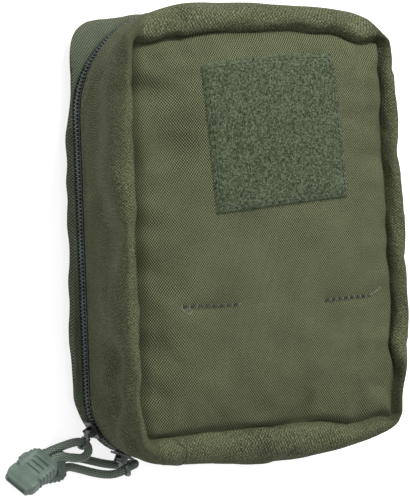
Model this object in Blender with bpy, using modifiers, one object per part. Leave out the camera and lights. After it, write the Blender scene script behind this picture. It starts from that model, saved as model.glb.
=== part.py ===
"""First aid pouch: a zipped fabric clamshell lying on its back, with what it holds.

Units are metres. +X is to the right seen from the front, +Y runs to the pouch's top edge and +Z
comes out of the front panel. Z = 0 is the table under the webbing on the back. The zip lies in a
plane near the back; the deep front half swings up about the hinge edge at the bottom.
"""
import math

import bmesh
import bpy
from mathutils import Matrix, Vector

# Gaps and cloth thicknesses
GAP = 0.0003
CLOTH = 0.0015
WEBBING = 0.0015
TAPE = 0.0008

# Overall outline, seen from the front, at the fullest part of the front half. An outline holds its
# half width, bottom and top at the corners, two corner radii, and how far its sides, bottom and top
# bow out between the corners.
HALF_WIDTH = 0.0735
BOTTOM = -0.1010
TOP = 0.1024
ROLL_LOW_RADIUS = 0.0100
ROLL_HIGH_RADIUS = 0.0120
SIDE_BOW = 0.0060
END_BOW = 0.0065
ROLL_OUTLINE = (
    HALF_WIDTH - SIDE_BOW,
    BOTTOM + END_BOW,
    TOP - END_BOW,
    ROLL_LOW_RADIUS,
    ROLL_HIGH_RADIUS,
    SIDE_BOW,
    END_BOW,
    END_BOW,
)

# Outline of the zip, and how far its ends stay from the middle of the bottom edge
ZIP_HALF_WIDTH = 0.0680
ZIP_BOTTOM = -0.1000
ZIP_TOP = 0.1010
ZIP_LOW_RADIUS = 0.0300
ZIP_HIGH_RADIUS = 0.0460
ZIP_END = 0.0330
ZIP_OUTLINE = (ZIP_HALF_WIDTH, ZIP_BOTTOM, ZIP_TOP, ZIP_LOW_RADIUS, ZIP_HIGH_RADIUS, 0.0, 0.0, 0.0)

# Heights above the table
BACK_Z = 2 * WEBBING + 2 * GAP
REAR_RIM_Z = 0.0114
ZIP_Z = 0.0150
COIL_GAP = 0.0012
COIL_HEIGHT = 0.0016
COIL_DEPTH = 0.0020
FRONT_RIM_Z = 0.0205
RIM_LIP = 0.0020
TAPE_LAP = 0.0012
ROLL_Z = 0.0600
SEAM_Z = 0.0654
CREST_Z = SEAM_Z + 0.0020
CROWN = 0.0046

# Seam round the front panel, and the crest of the stuffed roll outside it
SEAM_HALF_WIDTH = 0.0635
SEAM_BOTTOM = -0.0850
SEAM_TOP = 0.0855
SEAM_RADIUS = 0.0020
SEAM_SIDE_BOW = 0.0010
SEAM_TOP_BOW = 0.0050
SEAM_OUTLINE = (
    SEAM_HALF_WIDTH,
    SEAM_BOTTOM,
    SEAM_TOP,
    SEAM_RADIUS,
    SEAM_RADIUS,
    SEAM_SIDE_BOW,
    0.0,
    SEAM_TOP_BOW,
)
CREST_OUT = 0.0030
CREST_RADIUS = SEAM_RADIUS + CREST_OUT
CREST_OUTLINE = (
    SEAM_HALF_WIDTH + CREST_OUT,
    SEAM_BOTTOM - CREST_OUT,
    SEAM_TOP + CREST_OUT,
    CREST_RADIUS,
    CREST_RADIUS,
    SEAM_SIDE_BOW,
    0.0,
    SEAM_TOP_BOW,
)
PANEL_INSET = 0.0009

# Hinge edge of the cover
HINGE_Y = BOTTOM - GAP
HINGE_Z = FRONT_RIM_Z

# Loop patch on the front panel
PATCH_WIDTH = 0.0680
PATCH_HEIGHT = 0.0625
PATCH_CENTRE = (0.0024, 0.0438)
PATCH_TILT = math.radians(4)
PATCH_THICKNESS = 0.0016
PATCH_GAP = 0.0004

# Sliders and pull tabs
SLIDER_LENGTH = 0.0090
SLIDER_HALF_HEIGHT = 0.0036
PLATE = 0.0010
POST = 0.0006
PIN_RADIUS = 0.0006
PIN_CLEARANCE = 0.0003
BARREL_WALL = 0.0005
EAR = 0.0012
EAR_INSET = 0.0002
EAR_HALF_LENGTH = 0.0016
EAR_REACH = 0.0012
PIN_STANDOFF = 0.0018
TAB_THICKNESS = 0.0014
TAB_HALF_WIDTH = 0.0034
TAB_NECK = 0.0024
TAB_LENGTH = 0.0082
TAB_EYE = 0.0050
SLIDER_A_ANGLE = math.radians(210)
SLIDER_B_ANGLE = math.radians(246)
TAB_A_ANGLE = math.radians(235)
TAB_B_ANGLE = math.radians(295)

# Cords and their moulded ends
CORD_DIAMETER = 0.0038
CORD_CLEARANCE = 0.0005
CORD_SPREAD = 0.0022
CORD_LEAD = 0.0030
END_LENGTH = 0.0210
END_WIDTH = 0.0155
END_THICKNESS = 0.0066
END_GROOVES = 5
END_GROOVE_DEPTH = 0.0008
END_BARS = 3
END_BAR_DEPTH = 0.0010

# Webbing on the back
WEBBING_WIDTH = 0.0250
WEBBING_PITCH = 0.0508
WEBBING_ROWS = 3
WEBBING_LENGTH = 0.1160
FIRST_ROW_Y = 0.0560
STRAP_X = 0.0380
STRAP_RAMP = 0.0080
STRAP_HEAD = 0.0089
STRAP_TAIL = 0.0213
STUD_RADIUS = 0.0065
STUD_INSET = 0.0110

# Organiser and contents
ORGANISER_THICKNESS = 0.0012
ORGANISER_HALF_WIDTH = 0.0540
ORGANISER_HALF_HEIGHT = 0.0830
ORGANISER_RADIUS = 0.0120
BANDAGE_RADIUS = 0.0170
BANDAGE_LENGTH = 0.0700
BANDAGE_PITCH = 0.0385
BANDAGE_Y = 0.0440
ELASTIC_WIDTH = 0.0250
ELASTIC_THICKNESS = 0.0010
TAPE_ROLL_RADIUS = 0.0230
TAPE_ROLL_BORE = 0.0125
TAPE_ROLL_WIDTH = 0.0250
TAPE_ROLL_CENTRE = (0.0310, -0.0500)
PACK_LEFT = -0.0560
PACK_WIDTH = 0.0600
PACK_BOTTOM = -0.0830
PACK_HEIGHT = 0.0780
FOIL_THICKNESS = 0.0140
DRESSING_THICKNESS = 0.0120
PLASTER_THICKNESS = 0.0060
PACK_INSET = 0.0030

# Pocket on the inside of the front panel
POCKET_TOP = -0.0300
POCKET_DROP = 0.0009
POCKET_THICKNESS = 0.0008
BINDING_HEIGHT = 0.0080

ARC_STEPS = 6
SIDE_STEPS = 6

for old in list(bpy.data.objects):
    bpy.data.objects.remove(old)

kit = bpy.data.collections.new("first_aid_kit")
cutters = bpy.data.collections.new("cutters")
for group in (kit, cutters):
    bpy.context.scene.collection.children.link(group)


def finish(name, color, roughness, metallic=0.0):
    """A plain Principled material with the piece's colour, given in linear values."""
    material = bpy.data.materials.new(name)
    material.use_nodes = True
    shader = material.node_tree.nodes["Principled BSDF"]
    shader.inputs["Base Color"].default_value = (*color, 1.0)
    shader.inputs["Roughness"].default_value = roughness
    shader.inputs["Metallic"].default_value = metallic
    return material


OLIVE = (0.092, 0.102, 0.052)
LOOP_GREEN = (0.082, 0.112, 0.070)
ZIP_BLACK = (0.020, 0.024, 0.030)
METAL_BLACK = (0.030, 0.032, 0.034)
CORD_GREEN = (0.048, 0.085, 0.050)
PLASTIC_GREEN = (0.115, 0.150, 0.125)
PALE_CLOTH = (0.62, 0.57, 0.48)
WRAP_WHITE = (0.70, 0.71, 0.69)
FOIL = (0.60, 0.62, 0.64)


def add_piece(name, mesh, color, roughness, metallic=0.0, parent=None, smooth=True):
    """Put a mesh into the kit as a named piece with its own material."""
    piece = bpy.data.objects.new(name, mesh)
    kit.objects.link(piece)
    mesh.materials.clear()
    mesh.materials.append(finish(name + "_finish", color, roughness, metallic))
    if smooth:
        mesh.shade_smooth()
        mesh.set_sharp_from_angle(angle=math.radians(40))
    piece.parent = parent
    return piece


def add_empty(name, location, turn=0.0, parent=None):
    """An empty that carries a moving group, on that group's joint axis."""
    empty = bpy.data.objects.new(name, None)
    empty.location = location
    empty.rotation_euler = (0.0, 0.0, turn)
    empty.parent = parent
    kit.objects.link(empty)
    return empty


def bmesh_to_mesh(shape, name):
    """Write a bmesh into a new mesh and free it."""
    mesh = bpy.data.meshes.new(name)
    shape.to_mesh(mesh)
    shape.free()
    return mesh


def bow(point, half_width, low, high, side_bow, low_bow, high_bow):
    """Push a point of a rectangle out, most between the corners and not at all at them."""
    middle = (low + high) / 2
    reach = (high - low) / 2
    across = point.x / half_width
    along = (point.y - middle) / reach
    out = high_bow if along > 0 else low_bow
    return Vector((
        point.x + across * side_bow * (1 - along**2),
        point.y + along * out * (1 - across**2),
    ))


def rounded_outline(half_width, low, high, low_radius, high_radius, side_bow=0.0, low_bow=0.0, high_bow=0.0):
    """Closed rounded rectangle, counterclockwise from the left end of its bottom edge."""
    corners = (
        (half_width - low_radius, low + low_radius, low_radius, -90),
        (half_width - high_radius, high - high_radius, high_radius, 0),
        (high_radius - half_width, high - high_radius, high_radius, 90),
        (low_radius - half_width, low + low_radius, low_radius, 180),
    )
    arcs = []
    for x, y, radius, start in corners:
        angles = (math.radians(start + 90 * step / ARC_STEPS) for step in range(ARC_STEPS + 1))
        arcs.append([Vector((x + radius * math.cos(a), y + radius * math.sin(a))) for a in angles])
    points = []
    for before, arc in zip([arcs[-1]] + arcs[:-1], arcs):
        for step in range(1, SIDE_STEPS):
            points.append(before[-1].lerp(arc[0], step / SIDE_STEPS))
        points.extend(arc)
    return [bow(point, half_width, low, high, side_bow, low_bow, high_bow) for point in points]


def between(first, last, share):
    """Outline part of the way from one rounded outline to another."""
    return rounded_outline(*(a + share * (b - a) for a, b in zip(first, last)))


def loft_rings(rings, close_first=False):
    """Faces between closed outlines at rising heights; each ring is (z, points)."""
    shape = bmesh.new()
    rows = [[shape.verts.new((p.x, p.y, z)) for p in points] for z, points in rings]
    for lower, upper in zip(rows, rows[1:]):
        for index in range(len(lower)):
            after = (index + 1) % len(lower)
            shape.faces.new((lower[index], lower[after], upper[after], upper[index]))
    if close_first:
        shape.faces.new(list(reversed(rows[0])))
    return shape


def thicken(piece, thickness):
    """Give an open surface its thickness, on its inner side."""
    solid = piece.modifiers.new("thickness", "SOLIDIFY")
    solid.thickness = thickness
    solid.offset = -1.0


def soften(piece, width, segments=2):
    """Round a piece's sharp edges."""
    bevel = piece.modifiers.new("rounded_edges", "BEVEL")
    bevel.width = width
    bevel.segments = segments
    bevel.limit_method = "ANGLE"
    bevel.angle_limit = math.radians(40)


def combine(piece, other, operation):
    """Cut a hidden mesh out of a piece, or join it on."""
    boolean = piece.modifiers.new(operation.lower(), "BOOLEAN")
    boolean.operation = operation
    boolean.object = other


def add_cutter(name, mesh, parent=None):
    """A hidden mesh that only shapes other pieces."""
    cutter = bpy.data.objects.new(name, mesh)
    cutters.objects.link(cutter)
    cutter.hide_render = True
    cutter.display_type = "WIRE"
    cutter.parent = parent
    return cutter


def box_mesh(name, low, high):
    """A box between two corners."""
    shape = bmesh.new()
    size = [h - l for l, h in zip(low, high)]
    centre = [(l + h) / 2 for l, h in zip(low, high)]
    bmesh.ops.create_cube(shape, size=1.0, matrix=Matrix.Translation(centre) @ Matrix.Diagonal((*size, 1.0)))
    return bmesh_to_mesh(shape, name)


def rod_mesh(name, radius, length, turn=Matrix.Identity(4), sides=24):
    """A round rod along Z, centred on the origin, then turned."""
    shape = bmesh.new()
    bmesh.ops.create_cone(
        shape, cap_ends=True, segments=sides, radius1=radius, radius2=radius, depth=length, matrix=turn
    )
    return bmesh_to_mesh(shape, name)


def plate_mesh(name, outlines, half_thickness):
    """A flat plate from 2D outlines, the first its edge and any others its holes."""
    curve = bpy.data.curves.new(name, "CURVE")
    curve.dimensions = "2D"
    curve.fill_mode = "BOTH"
    curve.extrude = half_thickness
    for points in outlines:
        spline = curve.splines.new("POLY")
        spline.points.add(len(points) - 1)
        for target, point in zip(spline.points, points):
            target.co = (point[0], point[1], 0.0, 1.0)
        spline.use_cyclic_u = True
    drawn = bpy.data.objects.new(name + "_drawn", curve)
    kit.objects.link(drawn)
    seen = drawn.evaluated_get(bpy.context.evaluated_depsgraph_get())
    mesh = bpy.data.meshes.new_from_object(seen)
    bpy.data.objects.remove(drawn)
    shape = bmesh.new()
    shape.from_mesh(mesh)
    bmesh.ops.remove_doubles(shape, verts=shape.verts, dist=0.00001)
    caps = [face for face in shape.faces if len({round(vert.co.z, 6) for vert in face.verts}) == 1]
    inner = [edge for edge in shape.edges if all(face in caps for face in edge.link_faces)]
    if len(outlines) == 1:
        bmesh.ops.dissolve_edges(shape, edges=inner)
    bmesh.ops.recalc_face_normals(shape, faces=shape.faces)
    return bmesh_to_mesh(shape, name)


def zip_track():
    """Open path of the zip, from its left end under the bottom edge round to its right end."""
    ring = rounded_outline(*ZIP_OUTLINE)
    kept = [p for p in ring if p.y > ZIP_BOTTOM + GAP or abs(p.x) > ZIP_END]
    kept.sort(key=lambda p: math.atan2(p.x, p.y))
    return [Vector((-ZIP_END, ZIP_BOTTOM))] + kept + [Vector((ZIP_END, ZIP_BOTTOM))]


def inward(path, distance):
    """Move an open path inwards, across its own direction."""
    moved = []
    for index, point in enumerate(path):
        before = path[max(index - 1, 0)]
        after = path[min(index + 1, len(path) - 1)]
        along = (after - before).normalized()
        moved.append(point + distance * Vector((along.y, -along.x)))
    return moved


def add_zip_strip(name, depth, thickness, low, high, color, roughness, parent):
    """A strip that follows the zip, its outer face lying depth inside the zip's outline."""
    shape = bmesh.new()
    path = inward(zip_track(), depth)
    rows = [[shape.verts.new((p.x, p.y, z)) for p in path] for z in (low, high)]
    for index in range(len(path) - 1):
        shape.faces.new((rows[0][index], rows[1][index], rows[1][index + 1], rows[0][index + 1]))
    strip = add_piece(name, bmesh_to_mesh(shape, name), color, roughness, parent=parent)
    thicken(strip, thickness)
    return strip


def panel_height(x, y):
    """Height of the stuffed front panel's outer face, at a place before its edges bow out."""
    middle = (SEAM_TOP + SEAM_BOTTOM) / 2
    across = min(abs(x) / SEAM_HALF_WIDTH, 1.0)
    along = min(abs(y - middle) / (SEAM_TOP - middle), 1.0)
    return SEAM_Z + CROWN * (1 - across**3) * (1 - along**4)


def panel_place(x, y, lift=0.0):
    """Place on the front panel, with its edges bowed out."""
    flat = bow(Vector((x, y)), SEAM_HALF_WIDTH, SEAM_BOTTOM, SEAM_TOP, SEAM_SIDE_BOW, 0.0, SEAM_TOP_BOW)
    return (flat.x, flat.y, panel_height(x, y) + lift)


def sheet_mesh(name, low, high, columns, rows, lift=0.0, turn=0.0):
    """A sheet of squares between two corners, turned about its middle and laid on the front panel."""
    shape = bmesh.new()
    bmesh.ops.create_grid(shape, x_segments=columns, y_segments=rows, size=0.5)
    size = Vector((high[0] - low[0], high[1] - low[1]))
    centre = Vector(((low[0] + high[0]) / 2, (low[1] + high[1]) / 2))
    for vert in shape.verts:
        place = centre + Matrix.Rotation(turn, 2) @ Vector((vert.co.x * size.x, vert.co.y * size.y))
        vert.co = panel_place(place.x, place.y, lift)
    return bmesh_to_mesh(shape, name)


def hang_on(piece, carrier):
    """Carry a piece drawn in world places on an empty at its joint."""
    piece.parent = carrier
    piece.matrix_parent_inverse = carrier.matrix_basis.inverted()
    return piece


cover = add_empty("cover_hinge", (0.0, HINGE_Y, HINGE_Z))


# Rear half: panel and shallow side in one sewn shell, fullest a little below its rim
REAR_FULL_Z = BACK_Z + 0.0038
REAR_FULL = (0.0662, -0.0970, 0.0980, 0.0270, 0.0150, 0.0045, 0.0020, 0.0030)
REAR_FLAT = (0.0600, -0.0910, 0.0925, 0.0220, 0.0110, 0.0040, 0.0020, 0.0030)
REAR_TURN = 0.55


def add_rear_shell():
    rings = [
        (BACK_Z, rounded_outline(*REAR_FLAT)),
        (BACK_Z + (REAR_FULL_Z - BACK_Z) * (1 - REAR_TURN), between(REAR_FLAT, REAR_FULL, REAR_TURN)),
        (REAR_FULL_Z, rounded_outline(*REAR_FULL)),
        (REAR_RIM_Z - RIM_LIP, rounded_outline(*ZIP_OUTLINE)),
        (REAR_RIM_Z, rounded_outline(*ZIP_OUTLINE)),
    ]
    mesh = bmesh_to_mesh(loft_rings(rings, close_first=True), "rear_shell")
    thicken(add_piece("rear_shell", mesh, OLIVE, 0.9), CLOTH)


# Front half: share of the rise from rim to roll and of the flare there, then of the roll's own turn
SIDE_PROFILE = ((0.15, 0.24), (0.42, 0.58), (0.75, 0.88), (1.0, 1.0))
ROLL_PROFILE = ((0.58, 0.19), (0.92, 0.60), (1.0, 1.0))


def add_front_gusset():
    rings = [(z, rounded_outline(*ZIP_OUTLINE)) for z in (FRONT_RIM_Z, FRONT_RIM_Z + RIM_LIP)]
    for rise, share in SIDE_PROFILE:
        rings.append((FRONT_RIM_Z + rise * (ROLL_Z - FRONT_RIM_Z), between(ZIP_OUTLINE, ROLL_OUTLINE, share)))
    for rise, share in ROLL_PROFILE:
        rings.append((ROLL_Z + rise * (CREST_Z - ROLL_Z), between(ROLL_OUTLINE, CREST_OUTLINE, share)))
    rings.append((SEAM_Z, rounded_outline(*SEAM_OUTLINE)))
    mesh = bmesh_to_mesh(loft_rings(rings), "front_gusset")
    thicken(hang_on(add_piece("front_gusset", mesh, OLIVE, 0.9), cover), CLOTH)


def add_front_panel():
    low = (PANEL_INSET - SEAM_HALF_WIDTH, SEAM_BOTTOM + PANEL_INSET)
    high = (SEAM_HALF_WIDTH - PANEL_INSET, SEAM_TOP - PANEL_INSET)
    mesh = sheet_mesh("front_panel", low, high, 12, 16)
    thicken(hang_on(add_piece("front_panel", mesh, OLIVE, 0.9), cover), CLOTH)


def add_loop_patch():
    low = (PATCH_CENTRE[0] - PATCH_WIDTH / 2, PATCH_CENTRE[1] - PATCH_HEIGHT / 2)
    high = (PATCH_CENTRE[0] + PATCH_WIDTH / 2, PATCH_CENTRE[1] + PATCH_HEIGHT / 2)
    mesh = sheet_mesh("loop_patch", low, high, 8, 8, PATCH_THICKNESS + PATCH_GAP, PATCH_TILT)
    thicken(hang_on(add_piece("loop_patch", mesh, LOOP_GREEN, 1.0), cover), PATCH_THICKNESS)


def add_lid_pocket():
    top = SEAM_Z - CLOTH - POCKET_DROP
    half = SEAM_HALF_WIDTH - 2 * PANEL_INSET
    low = (-half, SEAM_BOTTOM + 2 * PANEL_INSET, top - POCKET_THICKNESS)
    mesh = box_mesh("lid_pocket", low, (half, POCKET_TOP, top))
    hang_on(add_piece("lid_pocket", mesh, ZIP_BLACK, 0.9), cover)
    binding_low = (-half, POCKET_TOP - BINDING_HEIGHT, low[2] - GAP - 2 * POCKET_THICKNESS)
    mesh = box_mesh("lid_pocket_binding", binding_low, (half, POCKET_TOP, low[2] - GAP))
    hang_on(add_piece("lid_pocket_binding", mesh, ZIP_BLACK, 0.8), cover)


# Zip: a coil and a tape on each half, and the plain strip where the halves stay joined
TAPE_DEPTH = CLOTH + GAP
COIL_PROUD = COIL_DEPTH - CLOTH
REAR_COIL_TOP = ZIP_Z - COIL_GAP / 2
FRONT_COIL_LOW = ZIP_Z + COIL_GAP / 2


def add_zip():
    coil_low = REAR_COIL_TOP - COIL_HEIGHT
    coil_high = FRONT_COIL_LOW + COIL_HEIGHT
    tape_low = REAR_RIM_Z - TAPE_LAP
    tape_high = FRONT_RIM_Z + TAPE_LAP
    add_zip_strip("rear_zip_tape", TAPE_DEPTH, TAPE, tape_low, REAR_COIL_TOP, ZIP_BLACK, 0.9, None)
    add_zip_strip("rear_zip_coil", -COIL_PROUD, COIL_DEPTH, coil_low, REAR_COIL_TOP, ZIP_BLACK, 0.4, None)
    tape = add_zip_strip("front_zip_tape", TAPE_DEPTH, TAPE, FRONT_COIL_LOW, tape_high, ZIP_BLACK, 0.9, None)
    low = FRONT_COIL_LOW
    coil = add_zip_strip("front_zip_coil", -COIL_PROUD, COIL_DEPTH, low, coil_high, ZIP_BLACK, 0.4, None)
    hang_on(tape, cover)
    hang_on(coil, cover)


def add_hinge_strip():
    low = (GAP - ZIP_END, ZIP_BOTTOM, REAR_RIM_Z + GAP)
    high = (ZIP_END - GAP, ZIP_BOTTOM + CLOTH, FRONT_RIM_Z - GAP)
    add_piece("hinge_strip", box_mesh("hinge_strip", low, high), OLIVE, 0.9)


# Sliders, drawn with X outwards from the zip, Y along it and Z up, and set on the corner of the zip
TRACK_CENTRE = Vector((ZIP_LOW_RADIUS - ZIP_HALF_WIDTH, ZIP_BOTTOM + ZIP_LOW_RADIUS, ZIP_Z))
TRACK_SAG = SLIDER_LENGTH**2 / (8 * ZIP_LOW_RADIUS)
OUTER_PLATE = COIL_PROUD + GAP
INNER_PLATE = -(TAPE_DEPTH + TAPE + TRACK_SAG + GAP)
PIN_OUT = OUTER_PLATE + PLATE + PIN_STANDOFF


def add_slider(name, track):
    """Outer plate, post and inner plate, with two ears and the pin that holds the pull tab."""
    top = SLIDER_HALF_HEIGHT
    post = POST / 2
    section = (
        (OUTER_PLATE, -top),
        (OUTER_PLATE + PLATE, -top),
        (OUTER_PLATE + PLATE, top),
        (OUTER_PLATE, top),
        (OUTER_PLATE, post),
        (INNER_PLATE - PLATE, post),
        (INNER_PLATE - PLATE, -top),
        (INNER_PLATE, -top),
        (INNER_PLATE, -post),
        (OUTER_PLATE, -post),
    )
    mesh = plate_mesh(name, [section], SLIDER_LENGTH / 2)
    mesh.transform(Matrix.Translation((ZIP_LOW_RADIUS, 0.0, 0.0)) @ Matrix.Rotation(math.radians(90), 4, "X"))
    slider = add_piece(name, mesh, METAL_BLACK, 0.45, 0.8, parent=track)
    pin_place = ZIP_LOW_RADIUS + PIN_OUT
    for side in (-1, 1):
        ends = sorted((side * (top - EAR_INSET), side * (top - EAR)))
        low = (pin_place - PIN_STANDOFF - PLATE / 2, -EAR_HALF_LENGTH, ends[0])
        high = (pin_place + EAR_REACH, EAR_HALF_LENGTH, ends[1])
        ear = add_cutter(f"{name}_ear_{side + 1}", box_mesh(name + "_ear", low, high), track)
        combine(slider, ear, "UNION")
    pin = rod_mesh(name + "_pin", PIN_RADIUS, 2 * top - EAR, Matrix.Translation((pin_place, 0.0, 0.0)), 12)
    combine(slider, add_cutter(name + "_pin", pin, track), "UNION")
    return slider


def add_pull_tab(name, pivot):
    """Flat tab with a barrel round the slider's pin and an eye for the cord."""
    neck = SLIDER_HALF_HEIGHT - EAR - GAP
    wide = TAB_HALF_WIDTH
    edge = ((0.0, -neck), (TAB_NECK, -neck), (TAB_NECK, -wide), (TAB_LENGTH - wide / 2, -wide))
    edge += ((TAB_LENGTH, -wide / 2), (TAB_LENGTH, wide / 2), (TAB_LENGTH - wide / 2, wide))
    edge += ((TAB_NECK, wide), (TAB_NECK, neck), (0.0, neck))
    eye_radius = CORD_DIAMETER / 2 + CORD_CLEARANCE
    turns = [math.tau * step / 16 for step in range(16)]
    eye = [(TAB_EYE + eye_radius * math.cos(t), eye_radius * math.sin(t)) for t in turns]
    mesh = plate_mesh(name, [edge, eye], TAB_THICKNESS / 2)
    mesh.transform(Matrix.Rotation(math.radians(90), 4, "X"))
    tab = add_piece(name, mesh, METAL_BLACK, 0.5, 0.6, parent=pivot)
    hole = PIN_RADIUS + PIN_CLEARANCE
    barrel = rod_mesh(name + "_barrel", hole + BARREL_WALL, 2 * neck, sides=16)
    combine(tab, add_cutter(name + "_barrel", barrel, pivot), "UNION")
    bore = rod_mesh(name + "_bore", hole, 4 * neck, sides=16)
    combine(tab, add_cutter(name + "_bore", bore, pivot), "DIFFERENCE")
    return tab


# Cord loops: free stretches from one side of the moulded end, through the tab's eye, to the other
CORD_A_ROUTE = (
    (-0.0836, -0.0926, 0.0131),
    (-0.0809, -0.0918, 0.0136),
    (-0.0781, -0.0910, 0.0142),
    (-0.0754, -0.0904, 0.0147),
    (-0.0727, -0.0902, 0.0150),
    (-0.0700, -0.0909, 0.0150),
    (-0.0682, -0.0925, 0.0150),
    (-0.0678, -0.0949, 0.0150),
    (-0.0693, -0.0969, 0.0150),
    (-0.0722, -0.0976, 0.0151),
    (-0.0754, -0.0972, 0.0153),
    (-0.0785, -0.0964, 0.0155),
    (-0.0813, -0.0957, 0.0156),
)
CORD_B_ROUTE = (
    (-0.0674, -0.0995, 0.0033),
    (-0.0616, -0.1012, 0.0027),
    (-0.0556, -0.1031, 0.0024),
    (-0.0500, -0.1044, 0.0030),
    (-0.0456, -0.1046, 0.0050),
    (-0.0430, -0.1042, 0.0080),
    (-0.0428, -0.1036, 0.0114),
    (-0.0444, -0.1036, 0.0142),
    (-0.0470, -0.1041, 0.0152),
    (-0.0496, -0.1052, 0.0150),
    (-0.0522, -0.1063, 0.0145),
    (-0.0552, -0.1071, 0.0126),
    (-0.0586, -0.1070, 0.0100),
    (-0.0626, -0.1060, 0.0074),
    (-0.0664, -0.1047, 0.0054),
    (-0.0694, -0.1037, 0.0042),
)

# Moulded ends: mouth, heading round Z, rise towards the tip and roll about their own length
END_A = (Vector((-0.0878, -0.0961, 0.0149)), math.radians(207), math.radians(14), math.radians(44))
END_B = (Vector((-0.0750, -0.1010, 0.0037)), math.radians(183), 0.0, 0.0)


def end_place(end):
    """World place of a moulded end, X running from its mouth to its tip."""
    mouth, heading, rise, roll = end
    turn = Matrix.Rotation(heading, 4, "Z") @ Matrix.Rotation(-rise, 4, "Y") @ Matrix.Rotation(roll, 4, "X")
    return Matrix.Translation(mouth) @ turn


def whole_route(route, end):
    """A cord's route with the straight leads that run into its moulded end."""
    place = end_place(end)
    leads = []
    for side in (-1, 1):
        leads.append([place @ Vector((-lead, side * CORD_SPREAD, 0.0)) for lead in (0.0, CORD_LEAD)])
    return leads[0] + [Vector(point) for point in route] + leads[1][::-1]


def smooth_route(route, steps=5):
    """Points along a smooth curve through a route's own points."""
    knots = list(route)
    knots = [2 * knots[0] - knots[1]] + knots + [2 * knots[-1] - knots[-2]]
    points = []
    for a, b, c, d in zip(knots, knots[1:], knots[2:], knots[3:]):
        for step in range(steps):
            t = step / steps
            bend = 2 * b + (c - a) * t + (2 * a - 5 * b + 4 * c - d) * t**2 + (3 * b - a - 3 * c + d) * t**3
            points.append(bend / 2)
    return points + [knots[-2]]


def add_cord(name, route, pivot):
    """A round cord along its route."""
    curve = bpy.data.curves.new(name, "CURVE")
    curve.dimensions = "3D"
    curve.bevel_depth = CORD_DIAMETER / 2
    curve.bevel_resolution = 2
    curve.use_fill_caps = True
    points = smooth_route(route)
    spline = curve.splines.new("POLY")
    spline.points.add(len(points) - 1)
    for target, point in zip(spline.points, points):
        target.co = (*point, 1.0)
    curve.materials.append(finish(name + "_finish", CORD_GREEN, 0.85))
    cord = bpy.data.objects.new(name, curve)
    kit.objects.link(cord)
    hang_on(cord, pivot)


def add_cord_end(name, end, pivot):
    """Moulded cord end with gripping grooves down its sides and bars sunk in its face."""
    half = END_WIDTH / 2
    nose = END_LENGTH * 0.14
    pitch = (END_LENGTH - 2 * nose) / END_GROOVES
    side = [(GAP, half * 0.72), (nose, half)]
    for groove in range(END_GROOVES):
        start = nose + (groove + 0.35) * pitch
        side += [(start, half), (start + 0.15 * pitch, half - END_GROOVE_DEPTH)]
        side += [(start + 0.35 * pitch, half - END_GROOVE_DEPTH), (start + 0.5 * pitch, half)]
    side += [(END_LENGTH - nose, half), (END_LENGTH, half * 0.78)]
    edge = [(x, -y) for x, y in side] + [(x, y) for x, y in reversed(side)]
    mesh = plate_mesh(name, [edge], END_THICKNESS / 2)
    body = add_piece(name, mesh, PLASTIC_GREEN, 0.5)
    place = end_place(end)
    bar_pitch = (END_LENGTH - 2 * nose) / END_BARS
    for bar in range(END_BARS):
        start = nose + (bar + 0.25) * bar_pitch
        low = (start, -half * 0.55, END_THICKNESS / 2 - END_BAR_DEPTH)
        high = (start + bar_pitch / 2, half * 0.55, END_THICKNESS)
        cutter = add_cutter(f"{name}_bar_{bar}", box_mesh(name + "_bar", low, high))
        cutter.matrix_world = place
        combine(body, cutter, "DIFFERENCE")
    hang_on(body, pivot)
    body.matrix_basis = place


def add_slider_set(letter, track_angle, tab_angle, route, end):
    """One slider on the corner of the zip, with its tab, cord loop and cord end."""
    track = add_empty(f"slider_{letter}_track", TRACK_CENTRE, track_angle)
    add_slider(f"slider_{letter}", track)
    outwards = Vector((math.cos(track_angle), math.sin(track_angle), 0.0))
    place = TRACK_CENTRE + (ZIP_LOW_RADIUS + PIN_OUT) * outwards
    pivot = add_empty(f"pull_{letter}_pivot", place, tab_angle)
    add_pull_tab(f"pull_tab_{letter}", pivot)
    add_cord(f"cord_loop_{letter}", whole_route(route, end), pivot)
    add_cord_end(f"cord_end_{letter}", end, pivot)
    print(f"pull {letter} pivot", [round(value, 5) for value in place])


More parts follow.
